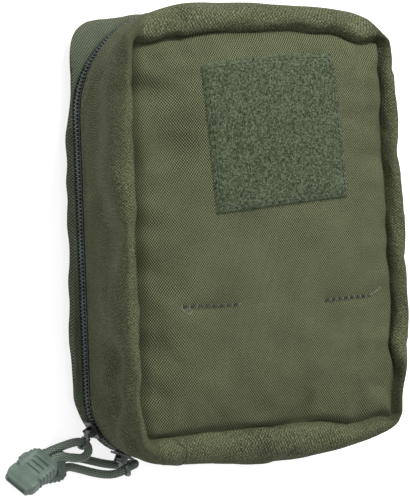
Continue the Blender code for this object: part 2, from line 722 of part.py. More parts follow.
# Back: webbing rows, woven straps and their press studs
def add_back():
    row_low = BACK_Z - GAP - WEBBING
    for row in range(WEBBING_ROWS):
        y = FIRST_ROW_Y - row * WEBBING_PITCH
        low = (-WEBBING_LENGTH / 2, y - WEBBING_WIDTH / 2, row_low)
        high = (WEBBING_LENGTH / 2, y + WEBBING_WIDTH / 2, row_low + WEBBING)
        name = f"webbing_row_{row + 1}"
        add_piece(name, box_mesh(name, low, high), OLIVE, 0.85)
    last_row = FIRST_ROW_Y - (WEBBING_ROWS - 1) * WEBBING_PITCH
    upper = FIRST_ROW_Y + WEBBING_WIDTH / 2 + 2 * GAP
    lower = last_row - WEBBING_WIDTH / 2 - 2 * GAP
    strap_top = upper + STRAP_RAMP + STRAP_HEAD
    strap_bottom = lower - STRAP_RAMP / 2 - STRAP_TAIL
    line = ((strap_top, row_low), (upper + STRAP_RAMP, row_low), (upper, 0.0))
    line += ((lower, 0.0), (lower - STRAP_RAMP / 2, row_low), (strap_bottom, row_low))
    for side, word in ((-1, "left"), (1, "right")):
        shape = bmesh.new()
        rows = []
        for half in (-WEBBING_WIDTH / 2, WEBBING_WIDTH / 2):
            rows.append([shape.verts.new((side * STRAP_X + half, y, z)) for y, z in line])
        for index in range(len(line) - 1):
            shape.faces.new((rows[0][index], rows[1][index], rows[1][index + 1], rows[0][index + 1]))
        name = f"back_strap_{word}"
        strap = add_piece(name, bmesh_to_mesh(shape, name), OLIVE, 0.85)
        thicken(strap, WEBBING)
        stud_height = row_low - 2 * GAP
        stud = rod_mesh(f"press_stud_{word}", STUD_RADIUS, stud_height, sides=20)
        stud_y = strap_bottom + STUD_INSET
        stud.transform(Matrix.Translation((side * STRAP_X, stud_y, GAP + stud_height / 2)))
        soften(add_piece(f"press_stud_{word}", stud, METAL_BLACK, 0.45, 0.8), stud_height / 3)


# Inside: organiser panel, bandages in elastic loops, packets and a roll of tape
ORGANISER_TOP = BACK_Z + CLOTH + GAP + ORGANISER_THICKNESS
FLOOR = ORGANISER_TOP + GAP


def add_organiser():
    height = ORGANISER_HALF_HEIGHT
    outline = rounded_outline(ORGANISER_HALF_WIDTH, -height, height, ORGANISER_RADIUS, ORGANISER_RADIUS)
    mesh = plate_mesh("organiser_panel", [outline], ORGANISER_THICKNESS / 2)
    mesh.transform(Matrix.Translation((0.0, 0.0, ORGANISER_TOP - ORGANISER_THICKNESS / 2)))
    add_piece("organiser_panel", mesh, OLIVE, 0.9)


def add_bandage(name, x):
    """A rolled bandage lying along Y, under an elastic loop."""
    lie_down = Matrix.Rotation(math.radians(90), 4, "X")
    mesh = rod_mesh(name, BANDAGE_RADIUS, BANDAGE_LENGTH, lie_down)
    mesh.transform(Matrix.Translation((x, BANDAGE_Y, FLOOR + BANDAGE_RADIUS)))
    soften(add_piece(name, mesh, PALE_CLOTH, 0.95), BANDAGE_RADIUS / 10)


def add_elastic_loop(name, x):
    """An elastic band that stands on the organiser and goes over one bandage."""
    radius = BANDAGE_RADIUS + GAP
    centre = FLOOR + BANDAGE_RADIUS
    turns = [math.pi * step / 16 for step in range(17)]
    line = [(x + radius, FLOOR)] + [(x + radius * math.cos(t), centre + radius * math.sin(t)) for t in turns]
    line.append((x - radius, FLOOR))
    shape = bmesh.new()
    rows = []
    for half in (-ELASTIC_WIDTH / 2, ELASTIC_WIDTH / 2):
        rows.append([shape.verts.new((px, BANDAGE_Y + half, pz)) for px, pz in line])
    for index in range(len(line) - 1):
        shape.faces.new((rows[0][index], rows[0][index + 1], rows[1][index + 1], rows[1][index]))
    band = add_piece(name, bmesh_to_mesh(shape, name), ZIP_BLACK, 0.9)
    thicken(band, ELASTIC_THICKNESS)


def add_pack(name, low_z, thickness, inset, color, roughness):
    """A flat packet lying on the organiser or on the packet below."""
    low = (PACK_LEFT + inset, PACK_BOTTOM + inset, low_z)
    high = (PACK_LEFT + PACK_WIDTH - inset, PACK_BOTTOM + PACK_HEIGHT - inset, low_z + thickness)
    soften(add_piece(name, box_mesh(name, low, high), color, roughness), thickness / 4, 3)
    return low_z + thickness + GAP


def add_tape_roll():
    lift = Matrix.Translation((*TAPE_ROLL_CENTRE, FLOOR + TAPE_ROLL_WIDTH / 2))
    wound = rod_mesh("tape_roll", TAPE_ROLL_RADIUS, TAPE_ROLL_WIDTH, lift, 32)
    roll = add_piece("tape_roll", wound, PALE_CLOTH, 0.7)
    bore = rod_mesh("tape_roll_bore", TAPE_ROLL_BORE, 2 * TAPE_ROLL_WIDTH, lift, 32)
    combine(roll, add_cutter("tape_roll_bore", bore), "DIFFERENCE")


def add_contents():
    for word, place in (("left", -1), ("middle", 0), ("right", 1)):
        add_bandage(f"bandage_{word}", place * BANDAGE_PITCH)
        add_elastic_loop(f"elastic_loop_{word}", place * BANDAGE_PITCH)
    next_z = add_pack("foil_blanket_pack", FLOOR, FOIL_THICKNESS, 0.0, FOIL, 0.3)
    next_z = add_pack("dressing_pack", next_z, DRESSING_THICKNESS, PACK_INSET, WRAP_WHITE, 0.6)
    add_pack("plaster_pack", next_z, PLASTER_THICKNESS, 2 * PACK_INSET, PALE_CLOTH, 0.6)
    add_tape_roll()


add_rear_shell()
add_hinge_strip()
add_front_gusset()
add_front_panel()
add_loop_patch()
add_lid_pocket()
add_zip()
add_slider_set("a", SLIDER_A_ANGLE, TAB_A_ANGLE, CORD_A_ROUTE, END_A)
add_slider_set("b", SLIDER_B_ANGLE, TAB_B_ANGLE, CORD_B_ROUTE, END_B)
add_back()
add_organiser()
add_contents()
print("corner track centre", [round(value, 5) for value in TRACK_CENTRE])
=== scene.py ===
# %% [markdown]
# A first aid pouch of olive nylon, zipped shut and lying on its back. The solids of every piece come
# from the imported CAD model, which gives each piece its place, its size and the body that it moves
# with. This lesson dresses them: sewn cloth, a coil zip, braided cords, and what is inside.

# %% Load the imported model
import math
import random

import bmesh
import bpy
import numpy as np
from mathutils import Matrix, Vector, noise
from mathutils.bvhtree import BVHTree


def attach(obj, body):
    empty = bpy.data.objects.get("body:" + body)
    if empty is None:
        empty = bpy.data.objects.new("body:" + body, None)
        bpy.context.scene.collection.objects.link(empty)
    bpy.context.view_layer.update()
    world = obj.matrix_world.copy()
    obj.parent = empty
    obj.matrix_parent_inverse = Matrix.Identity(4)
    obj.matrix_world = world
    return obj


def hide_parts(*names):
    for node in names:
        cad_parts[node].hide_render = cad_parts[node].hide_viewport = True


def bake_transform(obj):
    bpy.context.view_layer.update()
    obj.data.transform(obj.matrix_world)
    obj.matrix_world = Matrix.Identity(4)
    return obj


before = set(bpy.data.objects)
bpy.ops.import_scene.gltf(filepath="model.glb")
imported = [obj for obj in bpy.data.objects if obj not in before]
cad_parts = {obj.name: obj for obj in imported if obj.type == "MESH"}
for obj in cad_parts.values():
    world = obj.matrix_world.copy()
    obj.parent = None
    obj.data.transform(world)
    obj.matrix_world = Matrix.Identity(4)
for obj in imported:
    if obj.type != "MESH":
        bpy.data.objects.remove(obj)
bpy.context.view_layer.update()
scene = bpy.context.scene
scene.view_settings.view_transform = "Standard"
MM = 0.001

# %% [markdown]
# Cloth, tape and cord are all strips or skins, so one helper makes nearly every mesh here: it takes
# rows of points and joins neighbours with faces. It also lays the UVs out in millimetres, measured
# along the surface, so that a weave keeps its real thread spacing on every piece.

# %% Grids of points become meshes


def lengths(points, axis, closed=False):
    """Running length along one axis of a grid of points, in mm."""
    if closed:
        points = np.concatenate([points, points.take([0], axis=axis)], axis=axis)
    steps = np.linalg.norm(np.diff(points, axis=axis), axis=2).mean(axis=1 - axis)
    return np.concatenate([[0.0], np.cumsum(steps)]) / MM


def mesh_of(name, grids, closed=False, capped=False, flip=False):
    """One mesh from grids of points. Closed joins each row into a ring, capped fills end rings."""
    places, faces, corners = [], [], []
    for points in grids:
        points = np.asarray(points, dtype=float)
        rows, columns = points.shape[:2]
        u, v = lengths(points, 1, closed), lengths(points, 0)
        start = len(places)
        places.extend(points.reshape(-1, 3).tolist())
        for row in range(rows - 1):
            for column in range(columns if closed else columns - 1):
                beside = (column + 1) % columns
                face = [(row, column), (row, beside), (row + 1, beside), (row + 1, column)]
                spot = [(row, column), (row, column + 1), (row + 1, column + 1), (row + 1, column)]
                order = (3, 2, 1, 0) if flip else (0, 1, 2, 3)
                faces.append([start + face[k][0] * columns + face[k][1] for k in order])
                corners.extend((u[spot[k][1]], v[spot[k][0]]) for k in order)
        for row, turned in ((0, not flip), (rows - 1, flip)) if capped else ():
            ring = list(range(columns))[:: -1 if turned else 1]
            faces.append([start + row * columns + column for column in ring])
            corners.extend((u[column], v[row]) for column in ring)
    mesh = bpy.data.meshes.new(name)
    mesh.from_pydata(places, [], faces)
    layer = mesh.uv_layers.new(name="millimetres")
    layer.data.foreach_set("uv", np.array(corners, dtype=np.float32).ravel())
    mesh.shade_smooth()
    return mesh


SOLID = {"closed": True, "capped": True}


def add_piece(name, grids, finish, body, slot, *nodes, **form):
    """Put grids of points in the scene as a piece with its finish, on its body, in place of CAD nodes."""
    mesh = mesh_of(name, grids, **form)
    mesh.materials.append(finish)
    piece = bpy.data.objects.new(name, mesh)
    scene.collection.objects.link(piece)
    if body:
        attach(piece, body)
    if nodes:
        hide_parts(*nodes)
    return piece


def run_of(path):
    """Running length along a path."""
    return np.concatenate([[0.0], np.cumsum(np.linalg.norm(np.diff(path, axis=0), axis=1))])


def along_path(path, run, places):
    """Flat points of a path at distances along it."""
    return np.stack([np.interp(places, run, path[:, k]) for k in (0, 1)], 1)


def at_height(points, z):
    """Flat points lifted to a height."""
    return np.column_stack([points, np.full(len(points), z)])


def ease(x):
    """Smooth step from 0 to 1."""
    x = np.clip(x, 0.0, 1.0)
    return x * x * (3 - 2 * x)


def smooth_path(knots, steps):
    """Points along a smooth curve through knots (Catmull-Rom)."""
    knots = np.asarray(knots, dtype=float)
    knots = np.vstack([2 * knots[0] - knots[1], knots, 2 * knots[-1] - knots[-2]])
    t = (np.arange(steps) / steps)[:, None]
    points = []
    for a, b, c, d in zip(knots, knots[1:], knots[2:], knots[3:]):
        points.extend(
            (2 * b + (c - a) * t + (2 * a - 5 * b + 4 * c - d) * t**2 + (3 * b - a - 3 * c + d) * t**3) / 2
        )
    return np.vstack([points, knots[-2]])


def tube(path, radius, sides=8):
    """Rings of points round a path; radius is one number, one per ring, or one per point."""
    path = np.asarray(path, dtype=float)
    along = np.gradient(path, axis=0)
    along /= np.linalg.norm(along, axis=1)[:, None]
    side = np.cross(along[0], (0.0, 0.0, 1.0) if abs(along[0][2]) < 0.9 else (1.0, 0.0, 0.0))
    turns = np.arange(sides) * math.tau / sides
    if np.ndim(radius) < 2:
        radius = np.reshape(radius, (-1, 1))
    radius = np.broadcast_to(radius, (len(path), sides))
    rings = []
    for point, direction, reach in zip(path, along, radius):
        side = side - direction * np.dot(side, direction)
        side /= np.linalg.norm(side)
        up = np.cross(side, direction)
        rings.append(point + reach[:, None] * (np.cos(turns)[:, None] * side + np.sin(turns)[:, None] * up))
    return np.array(rings)


def stitch(start, end, lift, radius):
    """One lockstitch: a short thread that arches out of the cloth and dives back in."""
    start, end, lift = np.array(start), np.array(end), np.array(lift)
    shares = np.linspace(0.0, 1.0, 6)[:, None]
    path = start + (end - start) * shares + lift * (1 - (2 * shares - 1) ** 4)
    return tube(path, radius * np.array([0.55, 1.0, 1.05, 1.05, 1.0, 0.55]), 6)


print("helpers ready")

# %% [markdown]
# The photograph looks down on the pouch from its left, with a long lens. The camera was fitted to the
# seam round the front panel, the zip's left run and the outer edges, so its lens and turn are numbers.

# %% Camera
IMAGE_HEIGHT = 500
FOCAL_PIXELS = 1977
lens = bpy.data.cameras.new("camera")
lens.sensor_fit = "VERTICAL"
lens.sensor_height = 24.0
lens.lens = FOCAL_PIXELS * lens.sensor_height / IMAGE_HEIGHT
lens.clip_start = 0.05
camera = bpy.data.objects.new("camera", lens)
scene.collection.objects.link(camera)
camera.matrix_world = (
    Matrix.Translation((-0.0125, -0.0067, 0.030))
    @ Matrix.Rotation(math.radians(-29.4), 4, "Y")
    @ Matrix.Rotation(math.radians(-2.9), 4, "X")
    @ Matrix.Rotation(math.radians(-1.9), 4, "Z")
    @ Matrix.Translation((0.0, 0.0, 0.9))
)
scene.camera = camera
print("lens", round(lens.lens, 1), "mm")

# %% [markdown]
# A material is a tree of nodes. One small function adds a node, sets its options and fills its inputs:
# a socket or a node is linked, anything else is written into the input as a value. Colours are written
# as the hex codes one would pick on a screen, and turned to the linear values that the renderer adds up.

# %% Nodes and colours


def linear(code):
    """Linear RGBA from an sRGB hex code."""
    parts = [int(code[k : k + 2], 16) / 255 for k in (1, 3, 5)]
    return (*(p / 12.92 if p <= 0.04045 else ((p + 0.055) / 1.055) ** 2.4 for p in parts), 1.0)


def first_output(value):
    """A node's first output; anything else as it is."""
    return value.outputs[0] if isinstance(value, bpy.types.Node) else value


def add_node(tree, kind, inputs=None, stops=(), **options):
    """Add a shader node with its options, its inputs, and the stops (place, hex code) of a ramp."""
    node = tree.nodes.new("ShaderNode" + kind)
    for name, value in options.items():
        setattr(node, name, value)
    for name, value in (inputs or {}).items():
        value = first_output(value)
        if isinstance(value, bpy.types.NodeSocket):
            tree.links.new(value, node.inputs[name])
        else:
            node.inputs[name].default_value = value
    while stops and len(node.color_ramp.elements) < len(stops):
        node.color_ramp.elements.new(0.5)
    for index, (place, code) in enumerate(stops):
        node.color_ramp.elements[index].position = place
        node.color_ramp.elements[index].color = linear(code)
    return node


def new_finish(name, **values):
    """A material with a Principled shader; values fill its sockets, with _ for a space."""
    finish = bpy.data.materials.new(name)
    finish.use_nodes = True
    tree = finish.node_tree
    tree.nodes.clear()
    sockets = {key.replace("_", " "): value for key, value in values.items()}
    shader = add_node(tree, "BsdfPrincipled", sockets)
    add_node(tree, "OutputMaterial", {"Surface": shader})
    return finish, tree, shader


def paint(tree, shader, shade, stops, height, depth_mm, strength=1.0):
    """Colour the shader by stops over a shade, and raise a height as bump of a depth in mm."""
    color = add_node(tree, "ValToRGB", {"Fac": shade}, stops)
    relief = {"Height": height, "Distance": depth_mm * MM, "Strength": strength}
    bump = add_node(tree, "Bump", relief)
    tree.links.new(color.outputs[0], shader.inputs["Base Color"])
    tree.links.new(bump.outputs[0], shader.inputs["Normal"])


print("node helpers ready")

# %% [markdown]
# The floor is a plain pale sheet. The picture's ground is white, so floor and sky look brighter to the
# camera's rays, and to mirror and glass rays, than they are as lamps. The pouch shows them in its gloss,
# and a dimmer sky lights it. What falls on the floor from the lamps still carries the pouch's shadow.

# %% Floor, sky and lamps
FLOOR_SIZE = 6.0
FLOOR_DROP = 0.4 * MM
shape = bmesh.new()
bmesh.ops.create_grid(shape, x_segments=1, y_segments=1, size=FLOOR_SIZE / 2)
floor_mesh = bpy.data.meshes.new("floor")
shape.to_mesh(floor_mesh)
shape.free()
floor = bpy.data.objects.new("floor", floor_mesh)
floor.location.z = -FLOOR_DROP
scene.collection.objects.link(floor)


def seen_directly(tree):
    """1 for rays from the camera, and for mirror and glass rays."""
    rays = add_node(tree, "LightPath").outputs
    seen = add_node(tree, "Math", {0: rays["Is Camera Ray"], 1: rays["Is Glossy Ray"]}, operation="MAXIMUM")
    return add_node(tree, "Math", {0: seen, 1: rays["Is Transmission Ray"]}, operation="MAXIMUM")


FLOOR_GLOW, SKY_LIGHT = 0.80, 0.27
floor_paint = bpy.data.materials.new("matt_floor_paint")
floor_paint.use_nodes = True
tree = floor_paint.node_tree
tree.nodes.clear()
glow = add_node(tree, "Math", {0: seen_directly(tree), 1: FLOOR_GLOW}, operation="MULTIPLY")
glow = add_node(tree, "Emission", {"Color": linear("#FFFFFF"), "Strength": glow})
matt = add_node(tree, "BsdfDiffuse", {"Color": linear("#E4E4E2"), "Roughness": 0.5})
both = add_node(tree, "AddShader", {0: matt, 1: glow})
add_node(tree, "OutputMaterial", {"Surface": both})
floor_mesh.materials.append(floor_paint)

sky = bpy.data.worlds.new("soft_sky")
scene.world = sky
sky.use_nodes = True
tree = sky.node_tree
tree.nodes.clear()
white = add_node(tree, "Background", {"Color": linear("#FFFFFF"), "Strength": 1.0})
dim = add_node(tree, "Background", {"Color": linear("#F4F6FA"), "Strength": SKY_LIGHT})
sky_mix = add_node(tree, "MixShader", {0: seen_directly(tree), 1: dim, 2: white})
add_node(tree, "OutputWorld", {"Surface": sky_mix})


def add_lamp(name, place, target, size, watts):
    """A square soft lamp turned to a target."""
    lamp = bpy.data.lights.new(name, "AREA")
    lamp.size = size
    lamp.energy = watts
    holder = bpy.data.objects.new(name, lamp)
    holder.location = place
    holder.rotation_euler = (Vector(target) - Vector(place)).to_track_quat("-Z", "Y").to_euler()
    scene.collection.objects.link(holder)


MIDDLE = (0.0, 0.0, 0.03)
add_lamp("key_lamp", (0.20, 0.98, 1.08), MIDDLE, 0.40, 16.0)
add_lamp("front_lamp", (0.00, 0.15, 1.65), MIDDLE, 0.80, 5.4)
print("floor, sky and two lamps")

# %% [markdown]
# The pouch is cut from heavy textured nylon. Its yarns are thick, about 0.6 mm apart, and pass over
# and under each other, so light catches every second crossing and the eye sees a lattice of slanting
# specks. The product of two sine waves across the cloth gives just that height: a crown where one yarn
# rises, a hollow where it dives. The same product also sets the colour, paler on the crowns and darker
# in the hollows, which is painted highlight and painted shade. The same weave, with other yarns, makes
# the tape, webbing and lining.

# %% Woven finishes


def woven(name, yarn_mm, dark, mid, light, ribs=(1.0, 1.0), depth_mm=0.16, relief=0.30, mottle=0.3,
          wander=(0.7, 3.3), **values):
    """Plain weave: yarn spacing in mm, three colours, how much wider each yarn set is, and how far in
    yarns, and over how many mm, the yarns wander."""
    values = {"Roughness": 0.88, "IOR": 1.53, "Specular_IOR_Level": 0.25, **values}
    finish, tree, shader = new_finish(name, **values)
    surface = add_node(tree, "UVMap", uv_map="millimetres")
    # yarns wander a little, which keeps the lattice from looking printed
    drift = add_node(tree, "TexNoise", {"Vector": surface, "Scale": 1 / wander[1], "Detail": 2.0})
    off_middle = {0: drift.outputs["Color"], 1: (0.5, 0.5, 0.5)}
    drift = add_node(tree, "VectorMath", off_middle, operation="SUBTRACT")
    drift = add_node(tree, "VectorMath", {0: drift, "Scale": wander[0] * yarn_mm}, operation="SCALE")
    drift = add_node(tree, "VectorMath", {0: surface, 1: drift}, operation="ADD")
    pitch = [math.pi / (yarn_mm * rib) for rib in ribs]
    waves = add_node(tree, "VectorMath", {0: drift, 1: (*pitch, 1.0)}, operation="MULTIPLY")
    waves = add_node(tree, "VectorMath", {0: waves}, operation="SINE")
    waves = add_node(tree, "SeparateXYZ", {0: waves}).outputs
    crown = add_node(tree, "Math", {0: waves[0], 1: waves[1]}, operation="MULTIPLY")
    # single yarns differ in shade, and wide patches are rubbed paler or soiled darker
    yarns = {"Vector": surface, "Scale": 0.75 / yarn_mm, "Detail": 3.0, "Roughness": 0.65}
    fibre = add_node(tree, "TexNoise", yarns)
    rubbed = add_node(tree, "TexNoise", {"Vector": surface, "Scale": 0.055, "Detail": 3.0})
    # the crowns are painted paler and the hollows darker, as much as relief says: painted highlight and
    # shade
    shade = add_node(tree, "Math", {0: crown, 1: relief, 2: 0.25 - mottle / 2}, operation="MULTIPLY_ADD")
    for mark, share in ((fibre, 0.5), (rubbed, mottle)):
        shade = add_node(tree, "Math", {0: mark, 1: share, 2: shade}, operation="MULTIPLY_ADD")
    height = add_node(tree, "Math", {0: fibre, 1: 0.9, 2: crown}, operation="MULTIPLY_ADD")
    paint(tree, shader, shade, ((0.12, dark), (0.5, mid), (0.88, light)), height, depth_mm)
    return finish


# textured nylon: matt, with a lattice of pale specks painted on the yarn crowns as highlight; yarns
# drawn 0.56 and 0.74 mm apart so that they show in the picture, the real ones being nearer 0.5
POUCH_YARN, POUCH_RIBS = 0.60, (0.94, 1.24)
pouch_cloth = woven(
    "textured_nylon_cloth", POUCH_YARN, "#1D2113", "#4F543D", "#92966F", POUCH_RIBS, relief=0.54
)
# the gusset shows its cloth at a slant, where an even lattice would beat against the picture's own
# grid, so its yarns wander more
gusset_cloth = woven(
    "textured_nylon_gusset", POUCH_YARN, "#262A1B", "#555A40", "#90946F", (1.0, 1.3), relief=0.34,
    wander=(2.8, 1.1),
)
# the rear half's cloth is the pouch cloth painted paler, greyer and flatter: painted light that stands in
# for the light its edge, turned sideways and down, gets from the floor
rear_cloth_painted_paler = woven(
    "textured_nylon_rear_painted_paler", POUCH_YARN, "#31372A", "#616854", "#969E87", POUCH_RIBS, relief=0.36
)
# zip tape: close-woven polyester, nearly black, a fine rib along it
tape_cloth = woven(
    "polyester_zip_tape", 0.45, "#14181C", "#262B30", "#41474A", ribs=(1.6, 0.8), depth_mm=0.08
)
# webbing: heavy nylon strap, long ribs that the eye reads as fine cords side by side
strap_weave = woven("nylon_webbing", 0.70, "#363A28", "#55593F", "#7B7F62", ribs=(2.6, 0.9), depth_mm=0.20)
# lining: thin coated taffeta, smooth and nearly black-green
lining_cloth = woven(
    "coated_taffeta_lining", 0.40, "#1B1F19", "#2B302A", "#40463D", depth_mm=0.05, Roughness=0.6
)
# elastic: knitted over rubber, crosswise ribs 1 mm apart
rib_elastic = woven("knitted_elastic", 0.55, "#15181A", "#272B2C", "#454A4A", ribs=(0.9, 2.4), depth_mm=0.22)
# crepe bandage: loose cotton, open weave, unbleached
crepe_cotton = woven(
    "crepe_cotton", 0.85, "#B9AA90", "#DCD0B8", "#F0E8D6", depth_mm=0.30, mottle=0.25, Roughness=0.95
)
# cloth plaster tape: fine cotton with a dull face, wound in many layers
cotton_tape = woven("zinc_cotton_tape", 0.40, "#C7B294", "#DFCDB2", "#EFE2CD", depth_mm=0.06, mottle=0.2)
print("woven finishes made")

# %% [markdown]
# The patch is the loop half of a hook and loop fastener: a napped knit, whose tiny loops stand up and
# tangle. It has no lattice, only tufts and pits of about a millimetre, and it looks greyer than the cloth
# because its loops scatter light at every angle. Two sizes of noise give tufts and pits, for the bump and
# for the colour, where the tufts are painted paler and the pits darker as painted light and shade; a
# little sheen gives the pale bloom at grazing angles.

# %% Loop pile
knit = {"Roughness": 1.0, "IOR": 1.5, "Sheen_Weight": 0.10, "Specular_IOR_Level": 0.2}
loop_pile, tree, shader = new_finish("napped_loop_knit", **knit)
surface = add_node(tree, "UVMap", uv_map="millimetres")
tufts = add_node(tree, "TexNoise", {"Vector": surface, "Scale": 1.5, "Detail": 4.0, "Roughness": 0.75})
pits = add_node(tree, "TexVoronoi", {"Vector": surface, "Scale": 1.0, "Randomness": 1.0})
pile = add_node(tree, "Math", {0: pits, 1: -0.35, 2: tufts}, operation="MULTIPLY_ADD")
pile = add_node(tree, "Math", {0: pile, 1: 0.15}, operation="ADD")
# the colour follows the pile's height: tufts painted paler and pits darker, painted light and shade
paint(tree, shader, pile, ((0.22, "#36402B"), (0.48, "#5F6B4F"), (0.75, "#8D987B")), pile, 0.7)
print("loop pile made")

# %% [markdown]
# Sliders and tabs are die-cast zinc with baked black lacquer, rubbed to grey where fingers and the coil
# touch it. Pointiness, which tells convex edges from hollows, mixes in the bare metal there.

# %% Metal, plastic and thread


def lacquered(name, coat, bare, rough):
    """Lacquer on metal, worn through along the edges."""
    finish, tree, shader = new_finish(name, Metallic=0.4, Roughness=rough)
    edges = add_node(tree, "NewGeometry").outputs["Pointiness"]
    place = add_node(tree, "TexCoord").outputs["Object"]
    grime = add_node(tree, "TexNoise", {"Vector": place, "Scale": 700.0, "Detail": 4.0})
    worn = add_node(tree, "Math", {0: grime, 1: 0.12, 2: edges}, operation="MULTIPLY_ADD")
    paint(tree, shader, worn, ((0.60, coat), (0.78, bare)), grime, 0.03, 0.4)
    return finish


# sliders and studs: black lacquer, softly glossy, with grey or brassy edges
slider_metal = lacquered("black_lacquered_zinc", "#1B1E20", "#7C7F7E", 0.36)
stud_metal = lacquered("black_lacquered_brass", "#24272A", "#8E8A7C", 0.34)


def moulded(name, dark, light, rough):
    """Injection-moulded plastic: a fine spark-eroded grain 0.3 mm wide and faint flow marks."""
    finish, tree, shader = new_finish(name, Roughness=rough, IOR=1.48, Specular_IOR_Level=0.45)
    place = add_node(tree, "TexCoord").outputs["Object"]
    grain = add_node(tree, "TexNoise", {"Vector": place, "Scale": 3300.0, "Detail": 2.0})
    flow = add_node(tree, "TexNoise", {"Vector": place, "Scale": 160.0, "Detail": 3.0})
    shade = add_node(tree, "Math", {0: grain, 1: 0.35, 2: flow}, operation="MULTIPLY_ADD")
    paint(tree, shader, shade, ((0.4, dark), (0.95, light)), grain, 0.05)
    return finish


# cord ends: acetal, grey-green, softly glossy
end_plastic = moulded("moulded_acetal", "#526358", "#76897E", 0.42)
# zip coil: drawn nylon thread, nearly black, glinting on every turn; its pale flecks are painted glints
coil_nylon = moulded("drawn_nylon_coil", "#20262A", "#66706F", 0.28)


def spun(name, dark, light, fibre_mm):
    """Twisted yarn: fibres slant along it; its fine streaks are fibre tone and painted highlight."""
    finish, tree, shader = new_finish(name, Roughness=0.75, IOR=1.53, Sheen_Weight=0.2)
    surface = add_node(tree, "UVMap", uv_map="millimetres")
    twist = {"Vector": surface, "Rotation": (0.0, 0.0, 0.6), "Scale": (3.0, 0.7, 1.0)}
    slant = add_node(tree, "Mapping", twist)
    fibres = add_node(tree, "TexNoise", {"Vector": slant, "Scale": 0.5 / fibre_mm, "Detail": 3.0})
    paint(tree, shader, fibres, ((0.28, dark), (0.72, light)), fibres, 0.12)
    return finish


# sewing threads: bonded nylon, dark, pale and olive
dark_thread = spun("bonded_nylon_thread", "#23261B", "#3F4332", 0.2)
pale_thread = spun("undyed_nylon_thread", "#262C24", "#A6A996", 0.5)
olive_thread = spun("olive_nylon_thread", "#4E523E", "#7B7F68", 0.2)
print("metal, plastic and thread made")

# %% [markdown]
# The wrappers inside: a rescue blanket folded in clear-coated metal film, a dressing in bleached kraft
# paper, and plasters in a small board carton. Film crinkles in facets, which Voronoi cells give; paper
# and board only need fibres and a dull face.

# %% Film, paper and board


def pressed(name, dark, light, grain_mm, rough, depth_mm, cells=False, **values):
    """Sheet stock: fibres as noise, or crinkle facets as cells, of a size in mm."""
    finish, tree, shader = new_finish(name, Roughness=rough, **values)
    grain = {"Vector": add_node(tree, "TexCoord").outputs["Object"], "Scale": 1000 / grain_mm}
    if cells:
        mark = add_node(tree, "TexVoronoi", grain, feature="SMOOTH_F1")
    else:
        mark = add_node(tree, "TexNoise", {**grain, "Detail": 4.0})
    paint(tree, shader, mark, ((0.25, dark), (0.7, light)), mark, depth_mm)
    return finish


# film is a crinkled mirror, paper a dull white, board a smooth pale green
foil_film = pressed("metallised_film", "#B9BCC0", "#DADDE0", 5.0, 0.24, 0.9, cells=True, Metallic=1.0)
wrap_paper = pressed("bleached_kraft_paper", "#DCDCD6", "#F2F2EE", 1.6, 0.85, 0.10, IOR=1.45)
carton_board = pressed("coated_carton_board", "#C9CFC6", "#DFE4DB", 1.2, 0.5, 0.04, IOR=1.5)
print("wrappers made")

# %% [markdown]
# Each slider's tab carries a loop of braided cord whose two ends are moulded into a plastic grip. The
# routes are the CAD model's own points. A braid is two sets of strands that wind round the core in
# opposite directions; where a strand passes over the other set it stands proud, so the tube's radius
# rises and falls with two waves that run against each other.

# %% Cord loops
CORD_RADIUS = 1.9 * MM
CORD_SPREAD = 2.2 * MM
CORD_LEAD = 3.0 * MM
STRANDS = 10
BRAID_PITCH = 2.5 * MM
# shares of the radius: the hollows between strands, and how far a strand stands out
BRAID_CORE, BRAID_RISE = 0.93, 0.09
CORD_A_ROUTE = (
    (-83.6, -92.6, 13.1), (-80.9, -91.8, 13.6), (-78.1, -91.0, 14.2), (-75.4, -90.4, 14.7),
    (-72.7, -90.2, 15.0), (-70.0, -90.9, 15.0), (-68.2, -92.5, 15.0), (-67.8, -94.9, 15.0),
    (-69.3, -96.9, 15.0), (-72.2, -97.6, 15.1), (-75.4, -97.2, 15.3), (-78.5, -96.4, 15.5),
    (-81.3, -95.7, 15.6),
)
CORD_B_ROUTE = (
    (-67.4, -99.5, 3.3), (-61.6, -101.2, 2.7), (-55.6, -103.1, 2.4), (-50.0, -104.4, 3.0),
    (-45.6, -104.6, 5.0), (-43.0, -104.2, 8.0), (-42.8, -103.6, 11.4), (-44.4, -103.6, 14.2),
    (-47.0, -104.1, 15.2), (-49.6, -105.2, 15.0), (-52.2, -106.3, 14.5), (-55.2, -107.1, 12.6),
    (-58.6, -107.0, 10.0), (-62.6, -106.0, 7.4), (-66.4, -104.7, 5.4), (-69.4, -103.7, 4.2),
)


def grip_place(mouth, heading, rise, roll):
    """World place of a moulded grip, X running from its mouth to its tip."""
    turn = Matrix.Rotation(math.radians(heading), 4, "Z") @ Matrix.Rotation(math.radians(-rise), 4, "Y")
    return Matrix.Translation(Vector(mouth) * MM) @ turn @ Matrix.Rotation(math.radians(roll), 4, "X")


GRIP_A = grip_place((-87.8, -96.1, 14.9), 207, 14, 44)
GRIP_B = grip_place((-75.0, -101.0, 3.7), 183, 0, 0)


def cord_path(route, grip):
    """The route with its straight leads into the grip, as a fine smooth curve."""
    leads = [[grip @ Vector((-lead, side * CORD_SPREAD, 0)) for lead in (0, CORD_LEAD)] for side in (-1, 1)]
    knots = leads[0] + [Vector(point) * MM for point in route] + leads[1][::-1]
    return smooth_path([tuple(knot) for knot in knots], 14)


def braid(path):
    """A tube whose radius follows a braid of strands."""
    run = run_of(path)
    turns = np.arange(60) * math.tau / 60
    one = np.sin(STRANDS * turns[None] + math.tau * run[:, None] / BRAID_PITCH)
    other = np.sin(STRANDS * turns[None] - math.tau * run[:, None] / BRAID_PITCH)
    return tube(path, CORD_RADIUS * (BRAID_CORE + BRAID_RISE * np.maximum(one, other)), 60), run[-1]
